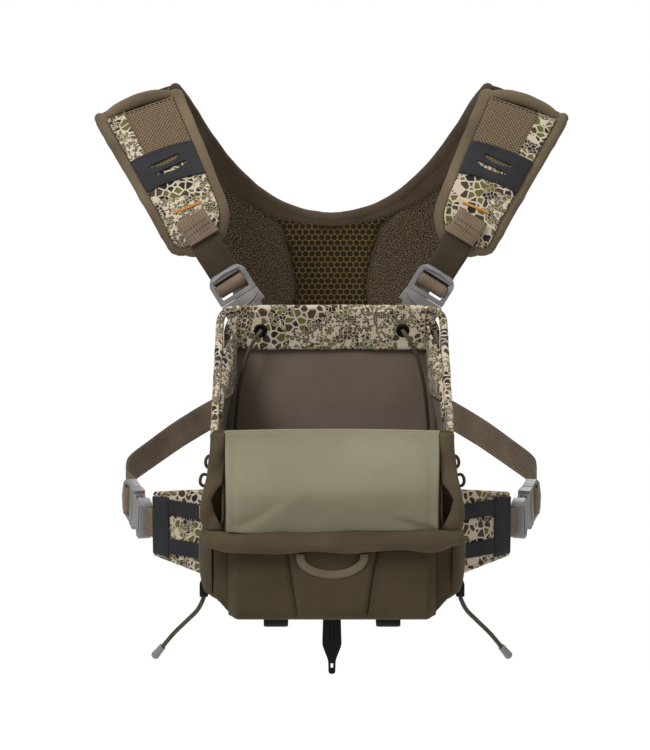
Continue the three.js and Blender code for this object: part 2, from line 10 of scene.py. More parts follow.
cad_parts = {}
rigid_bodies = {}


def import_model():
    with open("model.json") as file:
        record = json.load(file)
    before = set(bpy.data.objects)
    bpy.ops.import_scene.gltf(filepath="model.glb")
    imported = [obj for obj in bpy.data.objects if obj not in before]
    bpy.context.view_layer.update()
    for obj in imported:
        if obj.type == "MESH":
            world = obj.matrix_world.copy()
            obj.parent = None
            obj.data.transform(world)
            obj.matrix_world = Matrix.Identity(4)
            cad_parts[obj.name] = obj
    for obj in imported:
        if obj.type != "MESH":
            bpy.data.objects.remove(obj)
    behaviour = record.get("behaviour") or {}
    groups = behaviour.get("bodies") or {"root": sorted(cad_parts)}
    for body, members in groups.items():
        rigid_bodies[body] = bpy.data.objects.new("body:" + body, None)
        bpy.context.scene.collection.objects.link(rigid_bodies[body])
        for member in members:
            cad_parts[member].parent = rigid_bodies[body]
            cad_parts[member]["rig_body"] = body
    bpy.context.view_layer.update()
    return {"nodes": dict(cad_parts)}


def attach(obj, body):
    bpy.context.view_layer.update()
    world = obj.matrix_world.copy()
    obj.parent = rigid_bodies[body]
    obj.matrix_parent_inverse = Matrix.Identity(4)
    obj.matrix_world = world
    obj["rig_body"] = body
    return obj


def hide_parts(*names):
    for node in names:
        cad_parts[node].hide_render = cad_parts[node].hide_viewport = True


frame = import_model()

MM = 0.001
AHEAD, UP = (0, -1, 0), (0, 0, 1)  # the way the object's front looks, and up
BACK = (0, 1, 0)
scene = bpy.context.scene


# ------------------------------------------------------------------ vectors and paths
def vec(*p):
    return np.array(p, float)


def unit(a):
    a = np.asarray(a, float)
    return a / np.maximum(np.linalg.norm(a, axis=-1, keepdims=True), 1e-9)


def lerp(a, b, t):
    return a + (b - a) * t


def smooth(a, b, t):
    s = np.clip((np.asarray(t, float) - a) / (b - a), 0, 1)
    return s * s * (3 - 2 * s)


def ripple(p, scale, seed=0.0):
    """Smooth noise from about -1 to 1 at a point in millimetres; scale is the size of a wrinkle."""
    return noise.noise(Vector((p[0] / scale + seed, p[1] / scale, p[2] / scale)))


def at_share(points, share):
    """The point of a centripetal Catmull-Rom curve at a share of its spans."""
    points = np.asarray(points, float)
    last = len(points) - 1
    place = share * last
    i = min(int(place), last - 1)
    w = place - i
    p1, p2 = points[i], points[i + 1]
    p0 = points[i - 1] if i > 0 else 2 * p1 - p2
    p3 = points[i + 2] if i + 2 <= last else 2 * p2 - p1
    d0, d1, d2 = (max(np.linalg.norm(b - a) ** 0.5, 1e-4) for a, b in ((p0, p1), (p1, p2), (p2, p3)))
    t1 = ((p1 - p0) / d0 - (p2 - p0) / (d0 + d1) + (p2 - p1) / d1) * d1
    t2 = ((p2 - p1) / d1 - (p3 - p1) / (d1 + d2) + (p3 - p2) / d2) * d1
    square, cube = 3 * (p2 - p1) - 2 * t1 - t2, 2 * (p1 - p2) + t1 + t2
    return p1 + t1 * w + square * w * w + cube * w * w * w


def curve(points, count):
    return np.array([at_share(points, i / (count - 1)) for i in range(count)])


def steps(path):
    """Length along a path at each of its points."""
    return np.concatenate([[0], np.cumsum(np.linalg.norm(np.diff(path, axis=0), axis=1))])


def even(path, count):
    """The same path with its points evenly spaced."""
    path = np.asarray(path, float)
    s = steps(path)
    t = np.linspace(0, s[-1], count)
    return np.stack([np.interp(t, s, path[:, k]) for k in range(3)], 1)


def tangents(path):
    return unit(np.gradient(path, axis=0))


# ------------------------------------------------------------------ meshes
def grid(nu, nv, spot, us=(-1, 1), vs=(0, 1)):
    """The points spot(u, v) of a sheet, in nu rows along u and nv columns along v."""
    return np.array([[spot(u, v) for v in np.linspace(*vs, nv)] for u in np.linspace(*us, nu)], float)


def add_object(name, verts, faces):
    """A new object in the scene, from millimetres, with its normals outwards."""
    mesh = bpy.data.meshes.new(name)
    mesh.from_pydata((np.asarray(verts) * MM).tolist(), [], [list(map(int, f)) for f in faces])
    work = bmesh.new()
    work.from_mesh(mesh)
    bmesh.ops.recalc_face_normals(work, faces=work.faces)
    work.to_mesh(mesh)
    work.free()
    piece = bpy.data.objects.new(name, mesh)
    scene.collection.objects.link(piece)
    return piece


def make(name, shape, mat, body="pack", replaces=()):
    """A piece of the object from a shape: its points, its faces and its cloth coordinates."""
    verts, faces, cloth = shape
    piece = add_object(name, verts, faces)
    if cloth is not None:
        layer = piece.data.attributes.new("cloth", "FLOAT_VECTOR", "POINT")
        layer.data.foreach_set("vector", (np.asarray(cloth) * MM).astype(np.float32).ravel())
    piece.data.shade_smooth()
    piece.data.materials.append(mat)
    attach(piece, body)
    if replaces:
        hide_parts(*replaces)
    return piece


def flip(verts):
    return np.asarray(verts) * (-1, 1, 1)


def both(name, shape, mat, body="pack", replaces=()):
    """The piece on the +X side and its mirror image. A body or node name may hold {} for the side."""
    verts, faces, cloth = shape
    made = []
    for side, points in (("right", verts), ("left", flip(verts))):
        nodes = [n.format(side) for n in replaces]
        made.append(make(f"{name}_{side}", (points, faces, cloth), mat, body.format(side), nodes))
    return made


def merge(*shapes):
    verts, faces, cloth, base = [], [], [], 0
    for v, f, c in shapes:
        verts.append(v)
        cloth.append(c if c is not None else np.zeros((len(v), 3)))
        faces += [[i + base for i in face] for face in f]
        base += len(v)
    return np.concatenate(verts), faces, np.concatenate(cloth)


def grid_normals(P):
    du = np.gradient(P, axis=0)
    dv = np.gradient(P, axis=1)
    return unit(np.cross(du, dv))


def slab(P, front, back, bulge=0.5, N=None):
    """A closed sheet about the grid of points P: `front` and `back` are its thickness either side."""
    nu, nv = P.shape[:2]
    N = grid_normals(P) if N is None else np.broadcast_to(N, P.shape)
    front = np.broadcast_to(np.asarray(front, float), (nu, nv))
    back = np.broadcast_to(np.asarray(back, float), (nu, nv))
    F = P + N * front[..., None]
    B = P - N * back[..., None]
    edge = (
        [(i, 0) for i in range(nu)]
        + [(nu - 1, j) for j in range(1, nv)]
        + [(i, nv - 1) for i in range(nu - 2, -1, -1)]
        + [(0, j) for j in range(nv - 2, 0, -1)]
    )
    rim = []
    for i, j in edge:
        inner = P[min(max(i, 1), nu - 2), min(max(j, 1), nv - 2)]
        out = unit(P[i, j] - inner)
        rim.append((F[i, j] + B[i, j]) / 2 + out * bulge * (front[i, j] + back[i, j]) / 2)
    verts = np.concatenate([F.reshape(-1, 3), B.reshape(-1, 3), np.array(rim)])
    n = nu * nv
    faces = []
    for i in range(nu - 1):
        for j in range(nv - 1):
            a, b, c, d = i * nv + j, (i + 1) * nv + j, (i + 1) * nv + j + 1, i * nv + j + 1
            faces.append((a, b, c, d))
            faces.append((n + d, n + c, n + b, n + a))
    count = len(edge)
    for k, (i, j) in enumerate(edge):
        i2, j2 = edge[(k + 1) % count]
        a, b = i * nv + j, i2 * nv + j2
        m, m2 = 2 * n + k, 2 * n + (k + 1) % count
        faces.append((b, a, m, m2))
        faces.append((m2, m, n + a, n + b))
    middle = np.linalg.norm(np.diff(P, axis=1), axis=2)[nu // 2]
    along = np.concatenate([[0], np.cumsum(middle)])
    widths = np.linalg.norm(np.diff(P, axis=0), axis=2)
    across = np.concatenate([np.zeros((1, nv)), np.cumsum(widths, axis=0)])
    across -= across[-1:] / 2
    C = np.zeros((nu, nv, 3))
    C[..., 0] = along[None, :]
    C[..., 1] = across
    flat = C.reshape(-1, 3)
    return verts, faces, np.concatenate([flat, flat, np.array([C[i, j] for i, j in edge])])


def loft(sections, cloth=None):
    """A closed skin through rings of equal length, closed at both ends by flat caps."""
    S = np.asarray(sections, float)
    n, m = S.shape[:2]
    faces = []
    for i in range(n - 1):
        for j in range(m):
            a, b = i * m + j, i * m + (j + 1) % m
            faces.append((a, b, b + m, a + m))
    verts = S.reshape(-1, 3)
    faces.append(list(range(m))[::-1])
    faces.append([(n - 1) * m + j for j in range(m)])
    if cloth is None:
        along = steps(S.mean(1))
        cloth = np.zeros((n, m, 3))
        cloth[..., 0] = along[:, None]
        around = np.linspace(0, 2 * math.pi * np.linalg.norm(S[n // 2, 0] - S[n // 2].mean(0)), m)
        cloth[..., 1] = around[None, :]
    return verts, faces, np.asarray(cloth).reshape(-1, 3)


def frames(path, up):
    """Across and up vectors along a path: up is one vector, or one for each point."""
    t = tangents(path)
    up = np.broadcast_to(np.asarray(up, float), path.shape)
    side = unit(np.cross(t, up))
    return side, unit(np.cross(side, t))


def tube(path, radius, sides=12, up=(0, 0, 1), flatten=1.0, ends=True, lump=None):
    """A round or oval tube: radius across, radius * flatten along up. Its ends are domed."""
    path = np.asarray(path, float)
    n = len(path)
    radius = np.broadcast_to(np.asarray(radius, float), (n,)).copy()
    side, top = frames(path, up)
    t = tangents(path)
    rings = []
    angles = np.linspace(0, 2 * math.pi, sides, endpoint=False)
    order = [(i, 1.0, 0.0) for i in range(n)]
    if ends:
        dome = ((0.38, 0.92), (0.75, 0.66), (0.95, 0.31))
        order = [(0, w, -d) for d, w in dome[::-1]] + order + [(n - 1, w, d) for d, w in dome]
    for i, w, d in order:
        centre = path[i] + t[i] * d * radius[i] * flatten
        ring = []
        for a in angles:
            r = radius[i] * w
            spot = centre + side[i] * math.cos(a) * r + top[i] * math.sin(a) * r * flatten
            if lump is not None:
                spot = spot + unit(spot - path[i]) * lump(spot) * w
            ring.append(spot)
        rings.append(ring)
    return loft(rings)


def ribbon(path, up, half, thick, lift=0.0, segments=8):
    """A flat woven strap along a path. It grows from `lift` to `lift + thick` along up."""
    path = np.asarray(path, float)
    n = len(path)
    half = np.broadcast_to(np.asarray(half, float), (n,))
    side, top = frames(path, up)
    section = []
    for k in range(segments + 1):
        u = -1 + 2 * k / segments
        section.append((u, 1.0, u))
    section.append((1.0 + 0.02, 0.5, 1.0))
    for k in range(segments + 1):
        u = 1 - 2 * k / segments
        section.append((u, 0.0, u))
    section.append((-1.0 - 0.02, 0.5, -1.0))
    s = steps(path)
    rings, cloth = [], []
    for i in range(n):
        ring, flat = [], []
        for u, b, c in section:
            pinch = 0.22 * thick if abs(u) > 0.99 and b != 0.5 else 0.0
            height = lift + thick * b + (pinch if b == 0.0 else -pinch if b == 1.0 else 0)
            ring.append(path[i] + side[i] * half[i] * u + top[i] * height)
            flat.append((s[i], half[i] * c, b))
        rings.append(ring)
        cloth.append(flat)
    return loft(rings, cloth)


# Sewing: pitch and length of a stitch and radius of its thread.
WALL_STITCH, WING_STITCH, PAD_STITCH = (3.0, 2.1, 0.28), (2.8, 1.9, 0.2), (2.9, 2.0, 0.3)


def stitches(path, normals, pitch=3.4, length=2.3, radius=0.32, sink=0.1):
    """A row of raised thread stitches along a path."""
    path = np.asarray(path, float)
    total = steps(path)[-1]
    count = max(2, int(total / pitch))
    fine = even(path, count * 2 + 1)
    s = np.linspace(0, 1, len(path))
    t = np.linspace(0, 1, count * 2 + 1)
    normals = np.broadcast_to(np.asarray(normals, float), path.shape)
    N = unit(np.stack([np.interp(t, s, normals[:, k]) for k in range(3)], 1))
    T = tangents(fine)
    verts, faces = [], []
    for k in range(count):
        i = 2 * k + 1
        along, up = T[i], N[i]
        side = unit(np.cross(along, up))
        centre = fine[i] + up * (radius - sink)
        base = len(verts)
        verts.append(centre - along * length / 2 - up * radius)
        for share in (-0.28, 0.28):
            for a in range(6):
                angle = a * math.pi / 3
                spoke = side * math.cos(angle) * radius
                verts.append(centre + along * share * length + spoke + up * math.sin(angle) * radius)
        verts.append(centre + along * length / 2 - up * radius)
        for a in range(6):
            b = (a + 1) % 6
            faces.append((base, base + 1 + b, base + 1 + a))
            faces.append((base + 1 + a, base + 1 + b, base + 7 + b, base + 7 + a))
            faces.append((base + 13, base + 7 + a, base + 7 + b))
    return np.array(verts), faces, np.zeros((len(verts), 3))


def bar_tack(centre, along, across, up, length, width=2.2):
    """A dense zigzag of thread."""
    count = int(length / 0.62)
    rows = []
    for k in range(count):
        middle = centre + along * ((k + 0.5) / count - 0.5) * length
        slope = along * 0.35
        path = np.array([middle - across * width / 2 - slope, middle + across * width / 2 + slope])
        rows.append(tube(even(path, 4), 0.36, 6, up))
    return merge(*rows)


class Skin:
    """Finds points on the surface of a shape."""

    def __init__(self, shape):
        verts, faces, _ = shape
        self.tree = BVHTree.FromPolygons([Vector(v) for v in verts], [list(f) for f in faces])

    def hit(self, start, direction, reach=60.0):
        place, normal, _, _ = self.tree.ray_cast(Vector(start), Vector(direction), reach)
        if place is None:
            return None, None
        normal = np.array(normal)
        if normal @ np.asarray(direction, float) > 0:
            normal = -normal
        return np.array(place), normal


def refine(node, mat, width):
    """A detailed piece in a hard CAD node's place: the same form with its edges rounded over."""
    sharp_turn = math.radians(32)
    source = frame["nodes"][node]
    piece = bpy.data.objects.new(node + "_moulded", source.data.copy())
    scene.collection.objects.link(piece)
    work = bmesh.new()
    work.from_mesh(piece.data)
    bmesh.ops.remove_doubles(work, verts=work.verts, dist=1e-6)
    bmesh.ops.dissolve_limit(work, angle_limit=math.radians(1), verts=work.verts, edges=work.edges)
    joined = [e for e in work.edges if len(e.link_faces) == 2]
    sharp = [e for e in joined if e.calc_face_angle(0) > sharp_turn]
    bmesh.ops.bevel(work, geom=sharp, offset=width * MM, segments=2, profile=0.6, affect="EDGES",
                    clamp_overlap=True)
    bmesh.ops.recalc_face_normals(work, faces=work.faces)
    work.to_mesh(piece.data)
    work.free()
    piece.data.materials.clear()
    piece.data.materials.append(mat)
    piece.data.shade_smooth()
    piece.data.set_sharp_from_angle(angle=math.radians(40))
    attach(piece, source["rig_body"])
    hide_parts(node)


# ------------------------------------------------------------------ materials
def rgb(r, g, b):
    def linear(c):
        c /= 255
        return c / 12.92 if c <= 0.04045 else ((c + 0.055) / 1.055) ** 2.4

    return (linear(r), linear(g), linear(b), 1.0)


class Finish:
    """A material built from nodes. Its methods return output sockets."""

    def __init__(self, name, rough=0.8, sheen=0.0, specular=0.3):
        self.mat = bpy.data.materials.new(name)
        self.mat.use_nodes = True
        self.tree = self.mat.node_tree
        self.shader = self.tree.nodes["Principled BSDF"]
        self.shader.inputs["Roughness"].default_value = rough
        self.shader.inputs["Specular IOR Level"].default_value = specular
        if sheen:
            self.shader.inputs["Sheen Weight"].default_value = sheen
            self.shader.inputs["Sheen Roughness"].default_value = 0.5

    def node(self, kind, values=(), **settings):
        n = self.tree.nodes.new("ShaderNode" + kind)
        for key, value in settings.items():
            setattr(n, key, value)
        for key, value in dict(values).items():
            if isinstance(value, bpy.types.NodeSocket):
                self.tree.links.new(value, n.inputs[key])
            else:
                n.inputs[key].default_value = value
        return n

    def place(self):
        return self.node("TexCoord").outputs["Object"]

    def cloth(self):
        return self.node("Attribute", attribute_name="cloth").outputs["Vector"]

    def noise(self, where, scale, detail=3.0, rough=0.5):
        values = {"Vector": where, "Scale": scale, "Detail": detail, "Roughness": rough}
        return self.node("TexNoise", values).outputs["Fac"]

    def cells(self, where, scale, feature="F1", random=1.0, out="Distance", flat=False):
        values = {"Vector": where, "Scale": scale, "Randomness": random}
        size = "2D" if flat else "3D"
        n = self.node("TexVoronoi", values, feature=feature, voronoi_dimensions=size)
        return n.outputs[out]

    def sum(self, a, b, how="ADD"):
        return self.node("Math", {0: a, 1: b}, operation=how).outputs[0]

    def split(self, vector, axis):
        return self.node("SeparateXYZ", {0: vector}).outputs[axis]

    def wave(self, run, pitch):
        """A sine wave along a run in metres, one period for each pitch in millimetres."""
        angle = self.sum(run, 2 * math.pi / (pitch * MM), "MULTIPLY")
        return self.node("Math", {0: angle}, operation="SINE").outputs[0]

    def turn(self, vector, angle):
        return self.node("Mapping", {"Vector": vector, "Rotation": (0, 0, angle)}).outputs[0]

    def ramp(self, value, *stops, step=False):
        n = self.node("ValToRGB", {"Fac": value})
        n.color_ramp.interpolation = "CONSTANT" if step else "LINEAR"
        marks = n.color_ramp.elements
        while len(marks) < len(stops):
            marks.new(0.5)
        for mark, (place, colour) in zip(marks, stops):
            mark.position = place
            mark.color = colour if hasattr(colour, "__len__") else (colour,) * 3 + (1,)
        return n.outputs["Color"]

    def mix(self, share, a, b, how="MIX"):
        n = self.node("Mix", data_type="RGBA", blend_type=how)
        for index, value in ((0, share), (6, a), (7, b)):
            if isinstance(value, bpy.types.NodeSocket):
                self.tree.links.new(value, n.inputs[index])
            else:
                n.inputs[index].default_value = value
        return n.outputs[2]

    def bump(self, height, distance, strength=0.6, after=None):
        values = {"Height": height, "Distance": distance * MM, "Strength": strength}
        if after is not None:
            values["Normal"] = after
        return self.node("Bump", values).outputs[0]

    def done(self, colour, normal=None, rough=None):
        self.tree.links.new(colour, self.shader.inputs["Base Color"])
        if normal is not None:
            self.tree.links.new(normal, self.shader.inputs["Normal"])
        if rough is not None:
            self.tree.links.new(rough, self.shader.inputs["Roughness"])
        return self.mat


def make_camo():
    """A generic printed pattern: cream ground with many-sided dark, green and tan cells."""
    f = Finish("camo_print", 0.9, sheen=0.04, specular=0.18)
    place = f.place()
    cream, tan = rgb(176, 163, 144), rgb(134, 116, 92)
    green, dark, black = rgb(84, 82, 44), rgb(60, 48, 36), rgb(32, 27, 24)

    def layer(scale, cluster, gap, *stops):
        """Cells of one size with paler gaps between them, coloured in clusters."""
        spot = f.cells(place, scale, out="Position", random=0.8)
        edge = f.cells(place, scale, "DISTANCE_TO_EDGE", random=0.8)
        kind = f.ramp(f.noise(spot, cluster, 2.5, 0.7), *stops, step=True)
        return f.mix(f.ramp(edge, (0, 1.0), (gap, 1.0), (gap + 0.04, 0.0)), kind, cream)

    coarse = layer(200, 42, 0.07, (0, black), (0.41, dark), (0.47, green), (0.505, cream),
                   (0.525, dark), (0.57, green), (0.62, black))
    middle = layer(380, 60, 0.03, (0, dark), (0.44, green), (0.485, cream), (0.51, tan),
                   (0.535, green), (0.58, black))
    fine = layer(700, 120, 0.03, (0, dark), (0.44, cream), (0.48, green), (0.51, cream),
                 (0.545, dark))
    patches = f.noise(place, 30, 2, 0.6)
    ground = f.mix(f.ramp(patches, (0, 0.0), (0.5, 1.0), step=True), coarse, middle)
    ground = f.mix(f.ramp(patches, (0, 0.0), (0.57, 1.0), step=True), ground, fine)
    weave = f.noise(place, 2600, 2, 0.6)
    soft = f.noise(place, 45, 3, 0.5)
    colour = f.mix(f.ramp(weave, (0.35, 0.0), (0.7, 0.22)), ground, rgb(40, 34, 28))
    height = f.sum(f.sum(weave, 0.35, "MULTIPLY"), soft)
    return f.done(colour, f.bump(height, 0.5, 0.5))


def make_woven(name, dark, light, patch=22, rough=0.9, sheen=0.03, depth=0.3, twill=900, crest_highlight=None):
    """Close-woven face fabric: fine twill, cloudy colour and a painted highlight that makes the raised
    threads slightly paler.
    """
    f = Finish(name, rough, sheen=sheen, specular=0.12)
    place = f.place()
    cloud = f.noise(place, patch, 4, 0.55)
    grain = f.noise(place, twill * 2.2, 2, 0.6)
    values = {"Vector": place, "Scale": twill, "Distortion": 2.0, "Detail": 2.0}
    line = f.node("TexWave", values, bands_direction="DIAGONAL").outputs["Fac"]
    colour = f.ramp(cloud, (0.3, dark), (0.72, light))
    thread = f.ramp(f.sum(grain, line, "MULTIPLY"), (0.1, 0.0), (0.55, 0.2))
    # Painted highlight: the raised threads are mixed towards a paler colour.
    colour = f.mix(thread, colour, crest_highlight or light)
    height = f.sum(f.sum(grain, line), 0.5, "MULTIPLY")
    return f.done(colour, f.bump(height, depth, 0.55))


def shade(colour, factor):
    return tuple(c * factor for c in colour[:3]) + (1,)


def make_webbing(name, dark, light):
    """Woven webbing: lengthwise cords with fine cross ribs between them."""
    rib_pitch, cord_pitch = 0.95, 1.9
    f = Finish(name, 0.88, sheen=0.04, specular=0.22)
    cloth = f.cloth()
    along, across = f.split(cloth, 0), f.split(cloth, 1)
    ribs = f.sum(f.wave(along, rib_pitch), 0.2, "MULTIPLY")
    height = f.sum(f.sum(ribs, f.sum(f.wave(across, cord_pitch), 0.3, "MULTIPLY")), 0.5)
    cloud = f.noise(f.place(), 60, 3, 0.5)
    base = f.ramp(cloud, (0.3, dark), (0.75, light))
    # Painted shade: the grooves between cords and ribs are mixed towards a deep brown.
    colour = f.mix(f.ramp(height, (0.1, 0.55), (0.6, 0.0)), base, shade(dark, 0.42))
    fuzz = f.noise(f.place(), 3000, 1, 0.5)
    return f.done(colour, f.bump(f.sum(height, f.sum(fuzz, 0.25, "MULTIPLY")), 0.35, 0.8))


def make_spacer(name, thread, hole, pitch):
    """Knitted spacer mesh: rows of small round holes between raised threads."""
    f = Finish(name, 0.9, sheen=0.1, specular=0.2)
    diagonal, unevenness = 0.785, 0.12
    cloth = f.turn(f.cloth(), diagonal)
    distance = f.cells(cloth, 1 / (pitch * MM), random=unevenness, flat=True)
    open_ = f.ramp(distance, (0.22, 0.0), (0.4, 1.0))
    cloud = f.noise(f.place(), 40, 3, 0.5)
    lit = f.mix(cloud, thread, shade(thread, 0.8))
    # Painted shade: the holes take the dark hole colour.
    colour = f.mix(open_, hole, lit)
    return f.done(colour, f.bump(open_, 0.6, 0.9))


def make_granular(name, dark, light):
    """Coarse speckled mesh: irregular loops of thread over a dark ground."""
    f = Finish(name, 0.92, sheen=0.04, specular=0.15)
    loops = f.cells(f.cloth(), 900, flat=True)
    crumbs = f.noise(f.place(), 1000, 3, 0.7)
    grains = f.sum(loops, crumbs, "MULTIPLY")
    ground = f.mix(f.noise(f.place(), 26, 3, 0.6), dark, shade(dark, 1.7))
    colour = f.mix(f.ramp(grains, (0.03, 1.0), (0.09, 0.55), (0.17, 0.0)), ground, light)
    return f.done(colour, f.bump(grains, -0.7, 0.9))


def make_plastic(name, colour, rough, edge=None, specular=0.45):
    """Moulded plastic: a fine etched grain, faint flow marks and uneven gloss."""
    f = Finish(name, rough, specular=specular)
    place = f.place()
    etched = f.noise(place, 2400, 3, 0.6)
    flow = f.noise(place, 70, 2, 0.5)
    lit = edge or tuple(min(1, c * 1.25) for c in colour[:3]) + (1,)
    tone = f.mix(f.ramp(flow, (0.35, 0.0), (0.75, 0.6)), colour, lit)
    gloss = f.node("MapRange", {"Value": flow, "To Min": rough - 0.06, "To Max": rough + 0.1})
    return f.done(tone, f.bump(etched, 0.12, 0.5), gloss.outputs[0])


def make_cord(name, dark, light):
    """Braided sheath: two sets of crossing strands."""
    strand_pitch = 1.1
    f = Finish(name, 0.85, sheen=0.1, specular=0.25)
    cloth = f.cloth()
    along, across = f.split(cloth, 0), f.split(cloth, 1)
    waves = [f.wave(f.sum(along, f.sum(across, way, "MULTIPLY")), strand_pitch) for way in (1, -1)]
    braid = f.sum(f.sum(*waves, "MAXIMUM"), 0.5, "MULTIPLY")
    fleck = f.noise(f.place(), 900, 2, 0.5)
    colour = f.mix(f.ramp(f.sum(braid, fleck, "MULTIPLY"), (0.0, 0.0), (0.32, 1.0)), dark, light)
    return f.done(colour, f.bump(braid, 0.25, 0.8))


CAMO = make_camo()
SHELL = make_woven("softshell", rgb(52, 45, 29), rgb(66, 57, 40), crest_highlight=rgb(84, 73, 54))
GUSSET = make_woven("softshell_lid", rgb(60, 51, 36), rgb(80, 68, 51), crest_highlight=rgb(98, 85, 66))
BINDING = make_woven("rolled_binding", rgb(80, 68, 52), rgb(106, 92, 72), twill=1300)
NECK = make_woven("neck_band", rgb(58, 48, 36), rgb(76, 64, 50), twill=1300)
SAGE = make_woven("lid_liner", rgb(112, 107, 87), rgb(128, 123, 101), patch=12, depth=0.15,
                  twill=1500, crest_highlight=rgb(146, 141, 118))
TAUPE = make_woven("pouch_lining", rgb(98, 86, 76), rgb(116, 103, 92), patch=14, depth=0.15,
                   twill=1500)
MESH = make_spacer("spacer_mesh", rgb(112, 93, 68), rgb(38, 30, 20), 1.75)
MESH_DARK = make_spacer("spacer_mesh_dark", rgb(72, 59, 42), rgb(24, 19, 12), 2.2)
GRAIN = make_granular("granular_mesh", rgb(36, 29, 18), rgb(136, 118, 92))
COMB = make_woven("honeycomb_mesh", rgb(76, 64, 36), rgb(92, 78, 46), depth=0.2, twill=1600)
BACKING = make_woven("dark_backing", rgb(30, 23, 10), rgb(44, 34, 16), depth=0.2)
WEB = make_webbing("webbing_taupe", rgb(98, 83, 67), rgb(120, 103, 85))
WEB_DARK = make_webbing("webbing_brown", rgb(84, 70, 56), rgb(102, 86, 70))
WEB_HANDLE = make_woven("handle_tape", rgb(78, 68, 52), rgb(104, 92, 74), depth=0.6, twill=420)
WEB_BROWN = make_webbing("webbing_umber", rgb(50, 42, 29), rgb(64, 54, 38))
WEB_BLACK = make_webbing("webbing_black", rgb(22, 22, 20), rgb(32, 32, 30))
LAMINATE = make_woven("laminate", rgb(26, 26, 28), rgb(38, 38, 41), patch=30, rough=0.6, depth=0.12,
                      twill=1900, crest_highlight=rgb(60, 60, 64))
GREY = make_plastic("grey_plastic", rgb(104, 101, 100), 0.42, edge=rgb(130, 127, 125))
BLACK = make_plastic("black_plastic", rgb(10, 10, 11), 0.55, specular=0.14)
CORD = make_cord("shock_cord", rgb(40, 33, 22), rgb(84, 72, 52))
THREAD = make_woven("thread_brown", rgb(68, 57, 42), rgb(90, 77, 59), twill=1800)
THREAD_DARK = make_woven("thread_dark", rgb(42, 35, 24), rgb(58, 48, 33), twill=1800)
ORANGE = make_woven("thread_orange", rgb(168, 112, 48), rgb(192, 138, 74), twill=1800)
SLOT_MATERIALS = {
    "camo_fabric": [CAMO],
    "softshell": [SHELL, GUSSET, BINDING, NECK],
    "lid_lining": [SAGE, TAUPE],
    "spacer_mesh": [MESH, MESH_DARK, GRAIN, COMB, BACKING],
    "webbing": [WEB, WEB_DARK, WEB_HANDLE, WEB_BROWN, THREAD, THREAD_DARK, ORANGE],
    "black_webbing": [WEB_BLACK],
    "laminate": [LAMINATE],
    "grey_plastic": [GREY],
    "black_plastic": [BLACK],
    "shock_cord": [CORD],
}
SLOT_OF = {mat.name: slot for slot, mats in SLOT_MATERIALS.items() for mat in mats}


# ------------------------------------------------------------------ camera
ELEVATION = math.radians(8)
DISTANCE = 1600  # from the eye to the point it looks at
TARGET = (-4.4, 0, 46)
LENS, SENSOR_WIDTH = 135.83, 36


def camera():
    eye = bpy.data.objects.new("camera", bpy.data.cameras.new("camera"))
    scene.collection.objects.link(eye)
    eye.data.sensor_fit = "HORIZONTAL"
    eye.data.sensor_width = SENSOR_WIDTH
    eye.data.lens = LENS
    eye.data.clip_end = 30
    back, up = DISTANCE * math.cos(ELEVATION), DISTANCE * math.sin(ELEVATION)
    eye.location = Vector((TARGET[0], TARGET[1] - back, TARGET[2] + up)) * MM
    eye.rotation_euler = (math.pi / 2 - ELEVATION, 0, 0)
    scene.camera = eye


camera()

# ------------------------------------------------------------------ cords
CORD_DIAMETER, TETHER_DIAMETER = 2.8, 2.5
TAIL = [(80.1, -83.5, -78), (80.2, -83.4, -82), (84, -80, -91), (91.5, -74, -100),
        (100, -68, -109.5), (107.5, -62, -119.5)]
TETHER = [(46, -5.8, 76), (46.4, -12, 75.6), (50, -17.5, 71), (55, -19, 60), (59, -18.5, 44),
          (61.5, -16, 24), (63, -13, 4), (63.5, -9.5, -8), (63.6, -6.8, -11)]


def cords():
    path = even(curve(TAIL, 90), 30)
    run = unit(path[-1] - path[-2])
    tail = both("tail_cord", tube(path, CORD_DIAMETER / 2, 10, BACK), CORD, replaces=["cord_tail_{}"])
    # The moulded end: distance along the cord and radius of each ring.
    spots = ((0.4, 1.75), (0.9, 2.2), (2.0, 2.3), (2.5, 2.05), (3.1, 2.05), (3.6, 2.35), (4.8, 2.4),
             (5.3, 2.15), (5.9, 2.15), (6.4, 2.45), (8.6, 2.6), (10.2, 2.65), (10.9, 2.3), (11.1, 1.4))
    line = np.array([path[-1] + run * d for d, _ in spots])
    cap = tube(line, [r for _, r in spots], 20, BACK, ends=False)
    caps = both("cord_cap", cap, GREY, replaces=["cord_end_{}"])
    route = even(curve(TETHER, 120), 34)
    tether = both("tether", tube(route, TETHER_DIAMETER / 2, 10, BACK), CORD,
                  replaces=["tether_cord_{}"])


cords()

# ------------------------------------------------------------------ pouch
HALF_WIDTH, BACK_HALF_WIDTH, DEPTH = 74, 68, 105
TOP_Z, BASE_Z = 90, -90
EYELET = (46, 76)  # x and z of an eyelet's middle
FACING_STRETCH = 1.055  # the facing reaches past the back panel's edge


def back_half(z):
    """Half width of the back panel at a height, with its rounded upper corners."""
    low = 62 + 6 * min(1, max(0, (z - BASE_Z) / 7))
    over = z - (TOP_Z - 16)
    return low if over <= 0 else BACK_HALF_WIDTH - 16 + math.sqrt(max(0, 16 ** 2 - over ** 2))


def wall_top(y):
    """Height of a side wall's sloping upper edge."""
    return lerp(86, 26.5, (-5.3 - y) / 94.4)


def back_grid(y, z0, z1, nu, nv, inset):
    return grid(nu, nv, lambda u, z: ((back_half(z) - inset) * u, y, z), vs=(z0, z1))


def pad_channels(x, z):
    """Crown of the back panel: three upright pads with sewn channels between."""
    edge = min(1.0, (back_half(z) - abs(x)) / 14)
    ends = float(smooth(-88, -70, z)) * (1 - float(smooth(40, 53, z)))
    seam = 1 - 0.95 * math.exp(-(((abs(x) - 24) / 2.6) ** 2))
    return 2.6 * ends * seam * math.sin(math.pi / 2 * max(0.0, edge))


